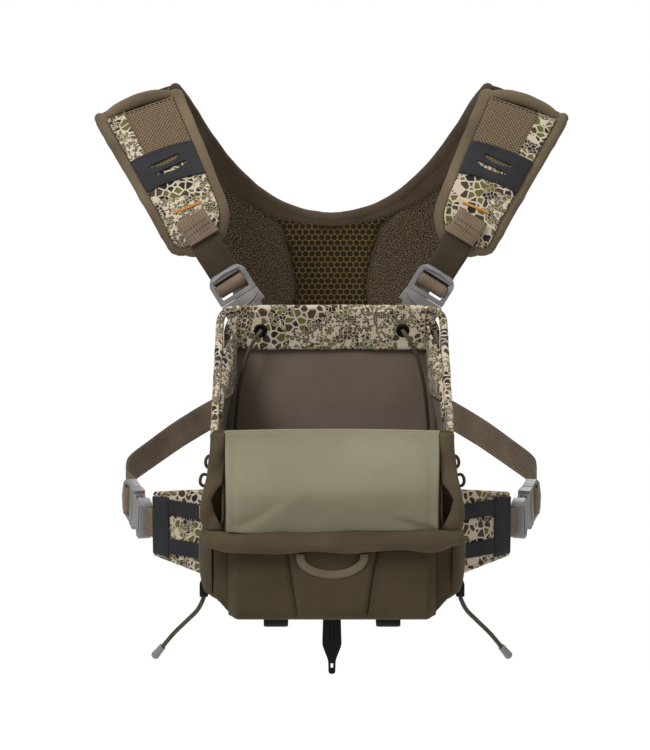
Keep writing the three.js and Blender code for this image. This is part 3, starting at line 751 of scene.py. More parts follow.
def pouch():
    P = back_grid(-2.7, -89.6, 89.2, 61, 81, 0.8)
    behind = np.array([[2.4 + pad_channels(p[0], p[2]) for p in row] for row in P])
    groove = (P[..., 2] > 55.2) & (P[..., 2] < 70.8) & (np.abs(P[..., 0]) < 57)
    behind[groove] = 0.95
    body = slab(P, 2.3, behind, N=AHEAD)
    padded = make("back_panel_pad", body, MESH_DARK, replaces=["back_panel"])
    inner = back_grid(-5.5, -85.6, 68.5, 41, 41, 0.6)
    for row in inner:
        for p in row:
            p[1] -= 0.7 * ripple(p, 34, 3) * float(smooth(0, 14, back_half(p[2]) - abs(p[0])))
            p[0] *= 1 + 0.034 * float(smooth(-76, -68, p[2]))
    lining = slab(inner, 0.35, 0.35, N=AHEAD)
    make("pouch_lining_back", lining, TAUPE)

    # Binding round the back panel.
    rim = [(back_half(z) - 1.6, -1.6, z) for z in np.linspace(-84, 74, 24)]
    rim += [(66.4 - 16 + 15.2 * math.cos(a), -1.6, 74 + 14.4 * math.sin(a))
            for a in np.linspace(0.15, math.pi / 2, 8)]
    rim = np.array(rim)
    loop = even(np.concatenate([rim, flip(rim)[::-1]]), 150)
    seam = tube(loop, 2.5, 10, BACK, flatten=0.8)
    make("back_panel_binding", seam, BINDING)
    sewn = loop - unit(loop * (1, 0, 1)) * 3.4 + (0, 1.2, 0)
    make("back_panel_stitches", stitches(sewn, BACK), THREAD)

    # Facing round the mouth, with a real hole behind each eyelet.
    P = back_grid(-6.7, 63.8, 89.4, 97, 21, 2.2)
    for row in P:
        for p in row:
            off_ring = math.hypot(abs(p[0]) * FACING_STRETCH - EYELET[0], p[2] - EYELET[1]) - 5
            far = min(1, abs(off_ring) / 8)
            p[1] -= 0.75 * far * ripple(p, 15, 11) + 0.25 * far
            p[0] *= FACING_STRETCH
    thick = np.full(P.shape[:2], 1.05)
    thick[:, 1] += 0.35
    facing = slab(P, thick, 0.9, N=AHEAD)
    band = make("mouth_facing", facing, CAMO, replaces=["mouth_band"])
    holes = (-EYELET[0], EYELET[0])
    carve(band, *[disc(4.4, (x, -16, EYELET[1]), (x, 0, EYELET[1])) for x in holes])
    low = np.array([(x, -8.0, 65.8 + 0.25 * math.sin(x / 9)) for x in np.linspace(-62, 62, 90)])
    make("mouth_facing_stitches", stitches(low, AHEAD, *WALL_STITCH), THREAD)
    # Eyelet ring: radius and depth round its section.
    profile = [(2.9, -7.8), (3.1, -8.2), (3.5, -8.35), (3.9, -8.2), (4.1, -7.8), (3.9, -7.4),
               (3.2, -7.4), (3.2, -6.0), (2.9, -6.0)]
    both("eyelet_ring", revolve(profile, (EYELET[0], 0, EYELET[1])), BLACK, replaces=["eyelet_{}"])

    # Side walls: padded camo, chamfered at the bottom, with piping along the upper edge.
    nu, nv = 45, 41
    P = np.zeros((nu, nv, 3))
    for i, y in enumerate(np.linspace(-6.2, -99.2, nu)):
        top = wall_top(y) - 2.4
        line = ((60.4, -88.4), (70.8, -77.5), (72.1, -74), (72.1, -60), (72.1, top))
        P[i] = even([(x, y, z) for x, z in line], nv)
        for p in P[i]:
            room = float(smooth(0, 12, top - p[2]) * smooth(-78, -60, p[2]))
            p[0] += room * (0.55 * ripple(p, 26, 5) + 0.25 * ripple(p, 11, 8))
    wall = slab(P, 1.9, 1.7)
    both("side_wall_panel", wall, CAMO, replaces=["side_wall_{}"])

    def inner_x(y, z):
        """Inner face of a side wall: it closes in on the back panel behind the mouth."""
        return 69.6 - 6.4 * float(smooth(-74, -14, y) * smooth(5, 50, z))

    inner = np.zeros((31, 31, 3))
    for i, y in enumerate(np.linspace(-6.4, -99, 31)):
        top = min(40 + 1.2 * math.sin(y / 17), wall_top(y) - 5)
        inner[i] = even([(59.5, y, -84), (68.6, y, -75), (69.6, y, -71), (69.6, y, top)], 31)
        for p in inner[i]:
            p[0] -= 0.6 * abs(ripple(p, 28, 2)) + 69.6 - inner_x(y, p[2])
    facing = np.zeros((31, 25, 3))
    for i, y in enumerate(np.linspace(-6.6, -84, 31)):
        low = min(38.5 + 1.2 * math.sin(y / 17), wall_top(y) - 8)
        for j, t in enumerate(np.linspace(0, 1, 25)):
            z = lerp(low, wall_top(y) - 2.6, t)
            out = float(smooth(0.7, 1.0, t)) * (1 - float(smooth(-40, -12, y)))
            x = lerp(inner_x(y, z), 70.2, out) - 0.8
            facing[i, j] = (x - 0.9 * ripple((x, y, z), 15, 4) * math.sin(math.pi * t), y, z)
    both("side_facing", slab(facing, 0.8, 0.6), CAMO)
    both("side_lining", slab(inner, 0.3, 0.3), TAUPE)
    rise = [(72.2, y, wall_top(y) - 1.6) for y in np.linspace(-99.6, -12, 12)]
    bend = [(71.6, -8.2, 84.4), (69.6, -6.4, 87.4), (65.5, -5.6, 89.2), (59, -5.3, 89.9),
            (46, -5.2, 90)]
    right = np.array(rise + bend)
    whole = even(curve(np.concatenate([right, flip(right)[::-1]]), 320), 260)
    piping = tube(whole, 2.55, 12, (0, 1, 0.3), lump=lambda p: 0.22 * ripple(p, 6, 4))
    make("mouth_piping", piping, CAMO)
    seam = even(np.array([(74.35, y, wall_top(y) - 5.4) for y in np.linspace(-97, -12, 20)]), 80)
    both("side_wall_stitches", stitches(seam, (1, 0, 0), *WALL_STITCH), THREAD)

    # Front wall and floor.
    def front_point(u, z):
        half = min(HALF_WIDTH - 0.8, 61.5 + (z + 90) * 0.86) if z < -76 else HALF_WIDTH - 0.8
        x = (half - 1.6 * float(smooth(19, 24.5, z))) * u
        soft = 1 - float(smooth(0.82, 1.0, abs(u)))
        return x, -DEPTH + 2.6 + 0.5 * ripple((x, 0, z), 24, 6) * soft + 1.6 * (1 - soft), z

    front = slab(grid(61, 41, front_point, vs=(-89.2, 24)), 2.0, 2.0, N=AHEAD)
    make("front_wall_panel", front, SHELL, replaces=["front_wall"])
    edge = even([(-71.5, -102.5, 24.2), (0, -102.7, 24.4), (71.5, -102.5, 24.2)], 80)
    shape = tube(edge, 2.2, 10, BACK, lump=lambda p: 0.15 * ripple(p, 7, 9))
    make("front_wall_edge", shape, SHELL)
    inner = grid(31, 31, lambda u, z: (66 * u, -99.6 + 0.4 * ripple((66 * u, 0, z), 30, 1), z),
                 vs=(-84, 21.5))
    inner[:, :5, 0] *= np.linspace(0.9, 1, 5)
    make("front_lining", slab(inner, 0.3, 0.3), TAUPE)

    def floor_point(u, y):
        sag = 0.8 * (1 - u * u) * math.sin(math.pi * (y + 99) / 93)
        return 58.2 * u, y, -88.1 + 0.5 * ripple((58 * u, y, 0), 25, 5) - sag

    floor = grid(31, 31, floor_point, vs=(-99.2, -5.6))
    shape = slab(floor, 1.5, 0.9, N=UP)
    make("base_floor", shape, SHELL, replaces=["base_panel"])
    anchor = even([(-55.6, -0.9, 63), (55.6, -0.9, 63)], 60)
    shape = ribbon(anchor, BACK, 6.8, 1.5)
    make("anchor_webbing", shape, WEB, replaces=["shoulder_anchor"])
    tacks = [bar_tack(vec(x, 0.75, 63), vec(*UP), vec(1, 0, 0), vec(*BACK), 11)
             for x in (-54, -18, 18, 54)]
    make("anchor_tacks", merge(*tacks), THREAD_DARK)


def disc(radius, a, b, sides=28):
    """A cylinder from a to b, used as a cutter."""
    return tube(np.array([a, b], float), radius, sides, UP, ends=False)


def revolve(profile, centre, sides=28):
    """A closed ring: (radius, y) points turned about an axis through centre along Y."""
    verts, faces = [], []
    count = len(profile)
    for k in range(sides):
        a = 2 * math.pi * k / sides
        for r, y in profile:
            verts.append((centre[0] + r * math.cos(a), y, centre[2] + r * math.sin(a)))
    for k in range(sides):
        for i in range(count):
            a, b = k * count + i, k * count + (i + 1) % count
            c = (k + 1) % sides * count
            faces.append((a, b, c + (i + 1) % count, c + i))
    return np.array(verts), faces, np.zeros((len(verts), 3))


def carve(piece, *cutters):
    """Cuts closed shapes out of a piece."""
    tools = []
    for verts, faces, _ in cutters:
        tools.append(add_object("cutter", verts, faces))
        cut = piece.modifiers.new("cut", "BOOLEAN")
        cut.operation = "DIFFERENCE"
        cut.solver = "EXACT"
        cut.object = tools[-1]
    apply(piece)
    for tool in tools:
        bpy.data.objects.remove(tool)


def apply(piece):
    """Makes the piece's modifiers part of its mesh."""
    bpy.context.view_layer.update()
    seen = piece.evaluated_get(bpy.context.evaluated_depsgraph_get())
    mesh = bpy.data.meshes.new_from_object(seen)
    piece.modifiers.clear()
    piece.data = mesh


pouch()


# ------------------------------------------------------------------ pockets and lid
def pockets():
    # Flat front pocket of one sheet, gathered back to the wall at its ends and bottom.
    nu, nv = 121, 41
    half = 63.6
    wall_y = -105.7
    line = [(-105.6, -88.6), (-110, -89.4), (-114.2, -88.9), (-116.8, -86.2), (-117.3, -81),
            (-115.6, -68), (-113.6, -56), (-112.2, -46.6)]
    profile = even(curve([(0, y, z) for y, z in line], 160), nv)

    def rise(z):
        """Share of the pocket's height."""
        return (z + 89) / 43

    def pleat_x(share):
        """The pleats lean outwards as they rise."""
        return lerp(20.5, 27.5, share)

    P = np.zeros((nu, nv, 3))
    for i, u in enumerate(np.linspace(-1, 1, nu)):
        x = half * u
        ends = 1 - float(smooth(57.5, half, abs(x)))
        for j in range(nv):
            _, y, z = profile[j]
            depth = (wall_y - y) * (0.06 + 0.94 * ends ** 0.7)
            share = rise(z)
            off = abs(x) - pleat_x(share)
            fold = 2.3 * math.exp(-((off / 0.9) ** 2)) - 1.5 * float(smooth(0.4, -1.6, off))
            live = ends * float(smooth(0, 0.18, share + 0.02))
            depth -= fold * live
            depth += live * (0.7 * ripple((x, 0, z), 26, 1) + 0.25 * ripple((x, 0, z), 10, 2))
            P[i, j] = (x, wall_y - depth, z + 1.2 * (1 - ends) * (1 - share))
    outwards = grid_normals(P)
    if outwards[nu // 2, nv // 2, 1] > 0:
        outwards = -outwards
    make("front_pocket_sheet", slab(P, 0.6, 0.6, N=outwards), SHELL, replaces=["front_pocket"])
    hem = np.array([P[i, -1] + (0, 1.0, -0.6) for i in range(0, nu, 2)])
    make("front_pocket_hem", tube(hem, 1.05, 8, UP, flatten=1.6), BINDING)

    def column_at(x):
        return int(round((x / half + 1) / 2 * (nu - 1)))

    rows = []
    for way in (-1, 1):
        end = P[column_at(way * 60.6), 6:] + (0, -0.6, 0)
        rows.append(stitches(end, (way * 0.4, -1, 0), 3.0, 2.1, 0.24))
        column = []
        for j in range(7, nv):
            i = column_at(way * (pleat_x(rise(P[0, j, 2])) + 2.4))
            column.append(P[i, j] + (0, -0.6, 0))
        rows.append(stitches(np.array(column), AHEAD, 3.0, 2.0, 0.22))
    make("front_pocket_stitches", merge(*rows), THREAD_DARK)

    # Stretch side pockets, fullest low down, with an elastic upper edge.
    loop = np.array([(-30, -28), (-29.5, -50), (-32, -78), (-50, -83.5), (-92, -83.5), (-100, -79),
                     (-104, -66), (-104, -45), (-103, -28), (-80, -26.5), (-50, -26.5)], float)

    def wall_x(z):
        return 74.35 - 0.88 * max(0.0, -76 - z)

    ring = [(0.0, y, z) for y, z in loop]
    closed = np.array(ring + ring[:3])
    around = curve(closed, (len(closed) - 1) * 14 + 1)[14:-14]
    around = even(around[: len(ring) * 14 + 1], 97)[:-1]
    middle = vec(0, -68, -52)
    rings = []
    for s in np.concatenate([np.linspace(1, 0.9, 6), np.linspace(0.85, 0.08, 14)]):
        row = []
        for p in around:
            q = middle + (p - middle) * s
            low = float(smooth(-28, -52, q[2]))
            out = 9.3 * (1 - s ** 3.2) ** 0.62 * (0.55 + 0.45 * low)
            gather = 0.5 * math.sin(q[1] / 2.1) * (1 - low) * float(smooth(0.2, 0.7, s))
            out += (gather + 0.9 * ripple(q, 22, 7)) * (1 - s ** 6)
            out *= 1 - 0.6 * math.exp(-(((q[1] + 83.5) / 7) ** 2) - (((q[2] + 78) / 7) ** 2))
            row.append((wall_x(q[2]) + max(0.1, out), q[1], q[2]))
        rings.append(row)
    base = [[(wall_x(p[2]) - 0.1, p[1], p[2]) for p in around]]
    both("side_pocket_shell", loft(base + rings), SHELL, replaces=["side_pocket_{}"])
    hem = []
    for t in np.linspace(0, 1, 60):
        x = 75.2 + 2.4 * math.sin(math.pi * t) + 0.3 * math.sin(t * 70)
        hem.append((x, lerp(-31, -102, t), -27.6))
    both("side_pocket_elastic", tube(hem, 1.7, 10, UP, flatten=1.4), BINDING)
    seam = np.array([(wall_x(-81.5) + 0.9, y, -81.5) for y in np.linspace(-40, -95, 50)])
    sewn = stitches(seam + (0.4, 0, -0.9), (1, 0, -0.4), 3, 2.1, 0.24)
    both("side_pocket_stitches", sewn, THREAD_DARK)


HINGE = (-108.5, 27.0)  # y and z of the lid's upper edge
LID_LOW = (-114.5, -40.0)  # y and z of its lower edge


def lid_y(z):
    share = (HINGE[1] - z) / (HINGE[1] - LID_LOW[1])
    return lerp(HINGE[0], LID_LOW[0], share) - 2.2 * math.sin(math.pi * share)


# Creases of the liner: x, z, run in x, run in z, width, depth.
CREASES = ((-46, -24, 0.86, 0.5, 3.4, 1.7), (-30, -18, 0.8, 0.6, 4.5, -1.3),
           (50, -30, 0.93, -0.36, 2.2, 1.7), (57, -24, 0.7, -0.7, 2.6, -1.0),
           (56, 16, 0.55, -0.83, 2.2, 1.0), (60, 20, 0.3, -0.95, 1.8, -0.7),
           (-58, 4, 0.05, 1.0, 2.6, 0.8))
# Gathered gusset: station heights, and at each the edges of its section across and in depth.
GUSSET_LEVELS = (25, 14, 4, -4, -9, -14, -21, -28, -33)
GUSSET_LIPS = {
    "inner": (66.4, 66.3, 66.2, 66.4, 66.5, 66.6, 66.6, 66.8, 68),
    "deep": (-107.5, -107.5, -107, -106.5, -106, -106, -106.3, -107, -110),
    "out": (73.6, 74.2, 75.6, 77, 78, 79, 80.2, 80, 78),
    "lip": (-110.5, -112.6, -114, -116.6, -118, -118.6, -118.6, -117.6, -116),
    "tip": (65.9, 65.9, 65.9, 66.6, 71.5, 74.4, 72.8, 69.0, 66.8),
}


def crease_depth(x, z):
    total = 0.0
    for cx, cz, dx, dz, wide, deep in CREASES:
        along = (x - cx) * dx + (z - cz) * dz
        off = (x - cx) * -dz + (z - cz) * dx
        total += deep * math.exp(-((off / wide) ** 2) - ((along / 15) ** 2))
    return total


def liner_point(u, v):
    x = 64.6 * u * (1 + 0.006 * math.sin(v * 5 + 1))
    z = lerp(27.2 - 1.1 * u * u, -34.6 + 0.9 * math.sin(u * 3.2), v)
    belly = 11.0 * float(smooth(0.0, 0.6, v)) * (1 - 0.95 * float(smooth(0.56, 0.98, v)))
    belly *= 1 - 0.5 * abs(u) ** 5
    side = math.exp(-(((abs(u) - 0.93) / 0.035) ** 2))
    y = lid_y(z) - 1.9 - belly + 0.5 * side + crease_depth(x, z) - 0.7 * ripple((x, 0, z), 38, 9)
    return x, min(y, lid_y(z) - 1.7), z


def gusset_section(z):
    """The trough of the gusset at a height, from the pouch's wall round to its rolled lip."""
    rising = [-level for level in GUSSET_LEVELS]
    inner, deep, out, lip, tip = (np.interp(-z, rising, v) for v in GUSSET_LIPS.values())
    return [(inner, lip + 3.2), (inner + 0.4, deep + 1.5), (lerp(inner, out, 0.4), deep),
            (out - 1.2, deep - 0.6), (out, lerp(deep, lip, 0.5)), (out - 1.0, lip + 0.8),
            (lerp(out, tip, 0.55), lip - 0.2), (tip, lip + 1.2)]


def lid():
    P = grid(61, 31, lambda u, z: (65 * u, lid_y(z) + 0.2 * ripple((65 * u, 0, z), 20, 5), z),
             vs=(26, -38))
    make("lid_panel", slab(P, 1.2, 1.2, N=AHEAD), GUSSET, "lid", ["lid_shell"])

    # Liner: hangs in a soft belly, then turns back under itself to the hem.
    P = grid(121, 61, liner_point)
    make("lid_lining_sheet", slab(P, 0.45, 0.35, N=AHEAD), SAGE, "lid", ["lid_liner"])
    edge = P[::2, 0] + (0, 0.5, 0.2)
    make("lid_top_fold", tube(edge, 0.95, 8, UP), SAGE, "lid")

    # Padded hem: an uneven roll with a fold line, thinner and turned up at its ends.
    line, width = [], []
    for t in np.linspace(-1, 1, 121):
        x = 75.5 * t
        turn = float(smooth(0.82, 1.0, abs(t)))
        line.append((x, -118.4 + 3.4 * turn, -40.2 + 0.7 * math.sin(t * 2.4) + 1.8 * turn))
        soft_end = 0.8 * float(smooth(0.6, 0.9, t))
        width.append(6.3 * (1 - 0.22 * turn) + 0.5 * math.sin(t * 11) + soft_end)

    def uneven(p):
        fold = -1.1 * math.exp(-(((p[2] + 44.5 - 1.5 * math.sin(p[0] / 16)) / 1.5) ** 2)) * (p[1] < -120)
        flat = 1.6 * float(smooth(-121.5, -125.5, p[1]))
        return 0.8 * ripple(p, 17, 12) + 0.5 * ripple(p * (0.4, 1, 1), 6, 3) + fold - flat

    shape = tube(line, width, 28, BACK, flatten=0.86, lump=uneven)
    make("lid_hem_roll", shape, GUSSET, "lid")

    # Gathered gusset at each side: a trough of cloth whose lip rolls over.
    P = np.zeros((41, 41, 3))
    for j, z in enumerate(np.linspace(25, -33, 41)):
        ring = even(curve([(x, y, z) for x, y in gusset_section(z)], 80), 41)
        for p in ring:
            p[0] += 0.7 * ripple(p, 12, 6)
            p[1] += 0.8 * ripple(p, 9, 2) - 0.5 * math.sin(z / 3.6 + p[0] * 0.5)
        P[:, j] = ring
    both("lid_gusset_fold", slab(P, 0.75, 0.75), GUSSET, replaces=["lid_gusset_{}"])

    # Elastic loops that gather the gusset: height, half height and reach outwards.
    loops = []
    for z, size, out in ((6.8, 3.6, 77.2), (-4.6, 3.5, 80.6)):
        path = curve([(74.5, -101.5, z + size * 0.6), (out - 1.6, -103, z + size),
                      (out, -104.5, z + size * 0.5), (out + 0.2, -104.8, z - size * 0.4),
                      (out - 1.4, -103.4, z - size), (74.6, -102, z - size * 0.8)], 30)
        loops.append(tube(path, 1.0, 8, BACK))
    both("gusset_loops", merge(*loops), CORD)

    # Pull handle: folded webbing sewn under the hem.
    path = []
    for t in np.linspace(-0.04, 1.04, 60):
        a = math.pi * t
        path.append((-math.cos(a) * 19.6, -116.1, -49.4 - math.sin(a) * 11.6))
    path = even(path, 60)
    # Its wide face looks forwards; its section is a rounded rectangle.
    wide, deep, corners = 2.6, 1.15, 14
    side = unit(np.cross(tangents(path), AHEAD))
    rings, cloth = [], []
    s = steps(path)
    for i, p in enumerate(path):
        ring, flat = [], []
        for k in range(corners):
            a = 2 * math.pi * k / corners
            w = wide * math.copysign(abs(math.cos(a)) ** 0.55, math.cos(a))
            h = deep * math.copysign(abs(math.sin(a)) ** 0.7, math.sin(a))
            ring.append(p + side[i] * w + vec(*AHEAD) * h)
            flat.append((s[i], w, h))
        rings.append(ring)
        cloth.append(flat)
    make("pull_handle", loft(rings, cloth), WEB_HANDLE, "lid_handle", ["lid_handle"])


pockets()
lid()


# ------------------------------------------------------------------ wings
def wing_point(share, height, lift):
    root, tip = vec(74.6, -12, -57), vec(115.5, 12, -55)
    along = tip - root
    out = unit(vec(along[1], -along[0], 0))
    return root + along * share + out * lift + vec(0, 0, height)


WING_OUT = unit(vec(24, -40.9, 0))


def wing_grid(v0, v1, half0, half1, middle, lift, nu, nv):
    def spot(u, v):
        return wing_point(v, middle + lerp(half0, half1, (v - v0) / (v1 - v0)) * u, lift)

    return grid(nu, nv, spot, vs=(v0, v1))


def wings():
    P = wing_grid(0.005, 0.995, 28.2, 19.8, 0, 2.0, 41, 41)
    for row in P:
        for p in row:
            p += WING_OUT * (0.5 * ripple(p, 18, 3))
    soft = (1.95 - 0.7 * abs(np.linspace(-1, 1, 41)) ** 8)[:, None]
    both("wing_panel", slab(P, soft, soft, N=WING_OUT), CAMO, replaces=["wing_{}"])
    bands = []
    for v0, v1, h0, h1, mid, up in ((0.74, 1.0, 19.8, 18.8, 0, 4.95), (0.02, 0.8, 5, 5, 13.5, 4.75),
                                    (0.02, 0.8, 5, 5, -12.5, 4.75)):
        P = wing_grid(v0, v1, h0, h1, mid, up, 13, 25)
        for row in P:
            for p in row:
                p += WING_OUT * 0.25 * ripple(p, 12, 8)
        thick = 0.75 if v0 > 0.5 else 0.5
        bands.append(slab(P, thick, thick - 0.1, N=WING_OUT))
    both("wing_bands", merge(*bands), LAMINATE, replaces=["wing_laminate_{}"])
    along = unit(vec(40.9, 24, 2))
    tacks = [bar_tack(wing_point(share, h, 5.35), vec(*UP), along, WING_OUT, 8.4, 1.7)
             for share, h in ((0.2, 13.5), (0.2, -12.5))]
    both("wing_tacks", merge(*tacks), ORANGE)
    rows = []
    for h in (17.6, 9.4, -8.4, -16.6):
        line = np.array([wing_point(v, h, 5.3) for v in np.linspace(0.06, 0.72, 30)])
        rows.append(stitches(line, WING_OUT, *WING_STITCH))
    for v in (0.77, 0.965):
        line = np.array([wing_point(v, h, 5.75) for h in np.linspace(-18, 18, 30)])
        rows.append(stitches(line, WING_OUT, *WING_STITCH))
    both("wing_stitches", merge(*rows), THREAD_DARK)
    edge = []
    for h in (-1, 1):
        line = np.array([wing_point(v, h * lerp(28.3, 19.9, v), 2) for v in np.linspace(0.01, 0.99, 30)])
        edge.append(tube(line, 1.9, 8, WING_OUT))
    both("wing_binding", merge(*edge), CAMO)


# ------------------------------------------------------------------ buckles
SHOULDER = (vec(60.5, 9.5, 96), vec(0.53, 0.06, 0.84), vec(0, -1, 0.07))
SIDE = (vec(132.5, 45, -49), vec(0.3, 0.93, 0.2), vec(0.93, -0.3, 0))


class Buckle:
    """Turns buckle coordinates (across, depth, along) into the pack's frame."""

    def __init__(self, place):
        self.mouth = place[0]
        self.z = unit(place[1])
        self.x = unit(np.cross(-place[2], self.z))
        self.y = unit(np.cross(self.z, self.x))

    def __call__(self, x, y, z):
        return self.mouth + self.x * x + self.y * y + self.z * z


# Path of the webbing round a ladder-lock's middle bar: depth and run in the buckle's frame.
LOCK_WRAP = ((4.3, 15.2), (3.9, 13.6), (0.5, 12.7), (-3.6, 12.3), (-4.9, 10.6), (-4.9, 8.6),
             (-3.6, 6.9), (0.5, 6.5), (3.9, 6.1), (4.3, 5.0))
# Path of the webbing through the shoulder buckle's slot.
SOCKET_WRAP = ((5.2, -40), (5.2, -31), (4.0, -27.4), (0, -26.2), (-3.6, -26.6), (-5.3, -28.4),
               (-5.3, -32), (-4, -38))
EDGE_WIDTHS = {"socket": 0.7, "plug": 0.7, "arm_outer": 0.35, "arm_inner": 0.35}


def buckles():
    for name, place in (("shoulder", SHOULDER), ("side", SIDE)):
        b = Buckle(place)
        plug = f"{name}_plug_{{}}"
        for side in ("right", "left"):
            for node, width in EDGE_WIDTHS.items():
                refine(f"{name}_buckle_{node}_{side}", GREY, width)
        line = curve([(0, y, z) for y, z in LOCK_WRAP], 60)
        path = np.array([b(0, y, z) for _, y, z in even(line, 44)])
        wrap = ribbon(path, unit(path - b(0, 0, 9.6)), 9.7, 1.0, segments=6)
        both(f"{name}_lock_webbing", wrap, WEB, plug)
        # Raised thumb ridge on the plug, and a moulded bead on the socket.
        ridge = even([b(-9.5, -3.4, 17.4), b(0, -3.9, 18.6), b(9.5, -3.4, 17.4)], 24)
        both(f"{name}_plug_ridge", tube(ridge, 1.25, 10, -b.y), GREY, plug)
        bead = [(-12.3, -4.0, -3.2), (-7, -4.1, -5.6), (0, -4.15, -6.6), (7, -4.1, -5.6),
                (12.3, -4.0, -3.2)]
        bead = even(curve([b(*spot) for spot in bead], 40), 36)
        both(f"{name}_socket_bead", tube(bead, 0.55, 8, -b.y), GREY)
        if name == "shoulder":
            path = even(curve([b(0, y, z) for y, z in SOCKET_WRAP], 60), 40)
            strap = ribbon(path, np.cross(tangents(path), b.x), 9.6, 1.4)
            both("shoulder_socket_webbing", strap, WEB)


wings()
buckles()


# ------------------------------------------------------------------ shoulder pads
PAD_LINE = [(88, 20.6, 128), (88.8, 21.4, 134), (91, 24.4, 145), (101, 38, 165), (113, 56, 187),
            (124.5, 74, 207), (131.5, 86.5, 219.5)]
PAD_HALF = [11, 19.5, 23.5, 25.5, 27.5, 29.5, 30.6]
PAD_ACROSS = unit(vec(-0.945, 0, 0.33))
PATCH = (0.525, 0.675)  # shares of the pad's length between which the patch lies
PAD_DEPTH = 4.5  # from the pad's front face to its middle


def pad_frame(share):
    """Middle of the pad's front face, its half width and the way that face looks."""
    share = min(max(share, 0.0), 1.0)
    at = at_share(PAD_LINE, share)
    ahead, behind = min(1, share + 0.01), max(0, share - 0.01)
    tangent = unit(at_share(PAD_LINE, ahead) - at_share(PAD_LINE, behind))
    half = float(np.interp(share * 6, range(7), PAD_HALF))
    up = unit(np.cross(tangent, PAD_ACROSS))
    return at, half, up if up[1] < 0 else -up


def pad_crown(u, share):
    ends = float(smooth(-0.02, 0.14, share)) * (1 - 0.5 * float(smooth(0.93, 1.0, share)))
    return 3.4 + (1.5 - 1.7 * abs(u) ** 3.2) * ends


def pad_point(u, share, lift):
    at, half, up = pad_frame(share)
    return at + PAD_ACROSS * half * u + up * (pad_crown(u, share) - PAD_DEPTH + lift)


def pad_grid(u0, u1, v0, v1, nu, nv, lift, wrinkle=0.35):
    P = np.zeros((nu, nv, 3))
    N = np.zeros((nu, nv, 3))
    for j, v in enumerate(np.linspace(v0, v1, nv)):
        up = pad_frame(v)[2]
        for i, u in enumerate(np.linspace(u0, u1, nu)):
            P[i, j] = pad_point(u, v, lift)
            P[i, j] += up * wrinkle * ripple(P[i, j], 15, 6)
            N[i, j] = up
    return P, N


def puffed(shape, voxel=4.5, pressure=4.0, cap=3.0):
    """The shape after a short cloth simulation with air pressure, its movement capped."""
    soft = add_object("puff", *shape[:2])
    remesh = soft.modifiers.new("voxels", "REMESH")
    remesh.mode = "VOXEL"
    remesh.voxel_size = voxel * MM
    apply(soft)
    rest = np.array([v.co for v in soft.data.vertices])
    cloth = soft.modifiers.new("cloth", "CLOTH")
    settings = cloth.settings
    settings.quality = 5
    settings.mass = 0.3
    settings.tension_stiffness = settings.compression_stiffness = 15
    settings.shear_stiffness = 10
    settings.bending_stiffness = 0.5
    settings.use_pressure = True
    settings.uniform_pressure_force = pressure
    settings.effector_weights.gravity = 0
    last_frame = 20
    for number in range(1, last_frame + 1):
        scene.frame_set(number)
    bpy.context.view_layer.update()
    seen = soft.evaluated_get(bpy.context.evaluated_depsgraph_get())
    moved = np.array([v.co for v in seen.data.vertices])
    soft.modifiers.clear()
    scene.frame_set(1)
    shift = moved - rest
    size = np.linalg.norm(shift, axis=1, keepdims=True)
    rest = rest + shift * np.minimum(1, cap * MM / np.maximum(size, 1e-9))
    soft.data.vertices.foreach_set("co", rest.ravel())
    smoothing = soft.modifiers.new("smooth", "SMOOTH")
    smoothing.iterations = 3
    divide = soft.modifiers.new("divide", "SUBSURF")
    divide.levels = divide.render_levels = 1
    apply(soft)
    verts = np.array([v.co for v in soft.data.vertices]) / MM
    faces = [list(p.vertices) for p in soft.data.polygons]
    bpy.data.objects.remove(soft)
    return verts, faces


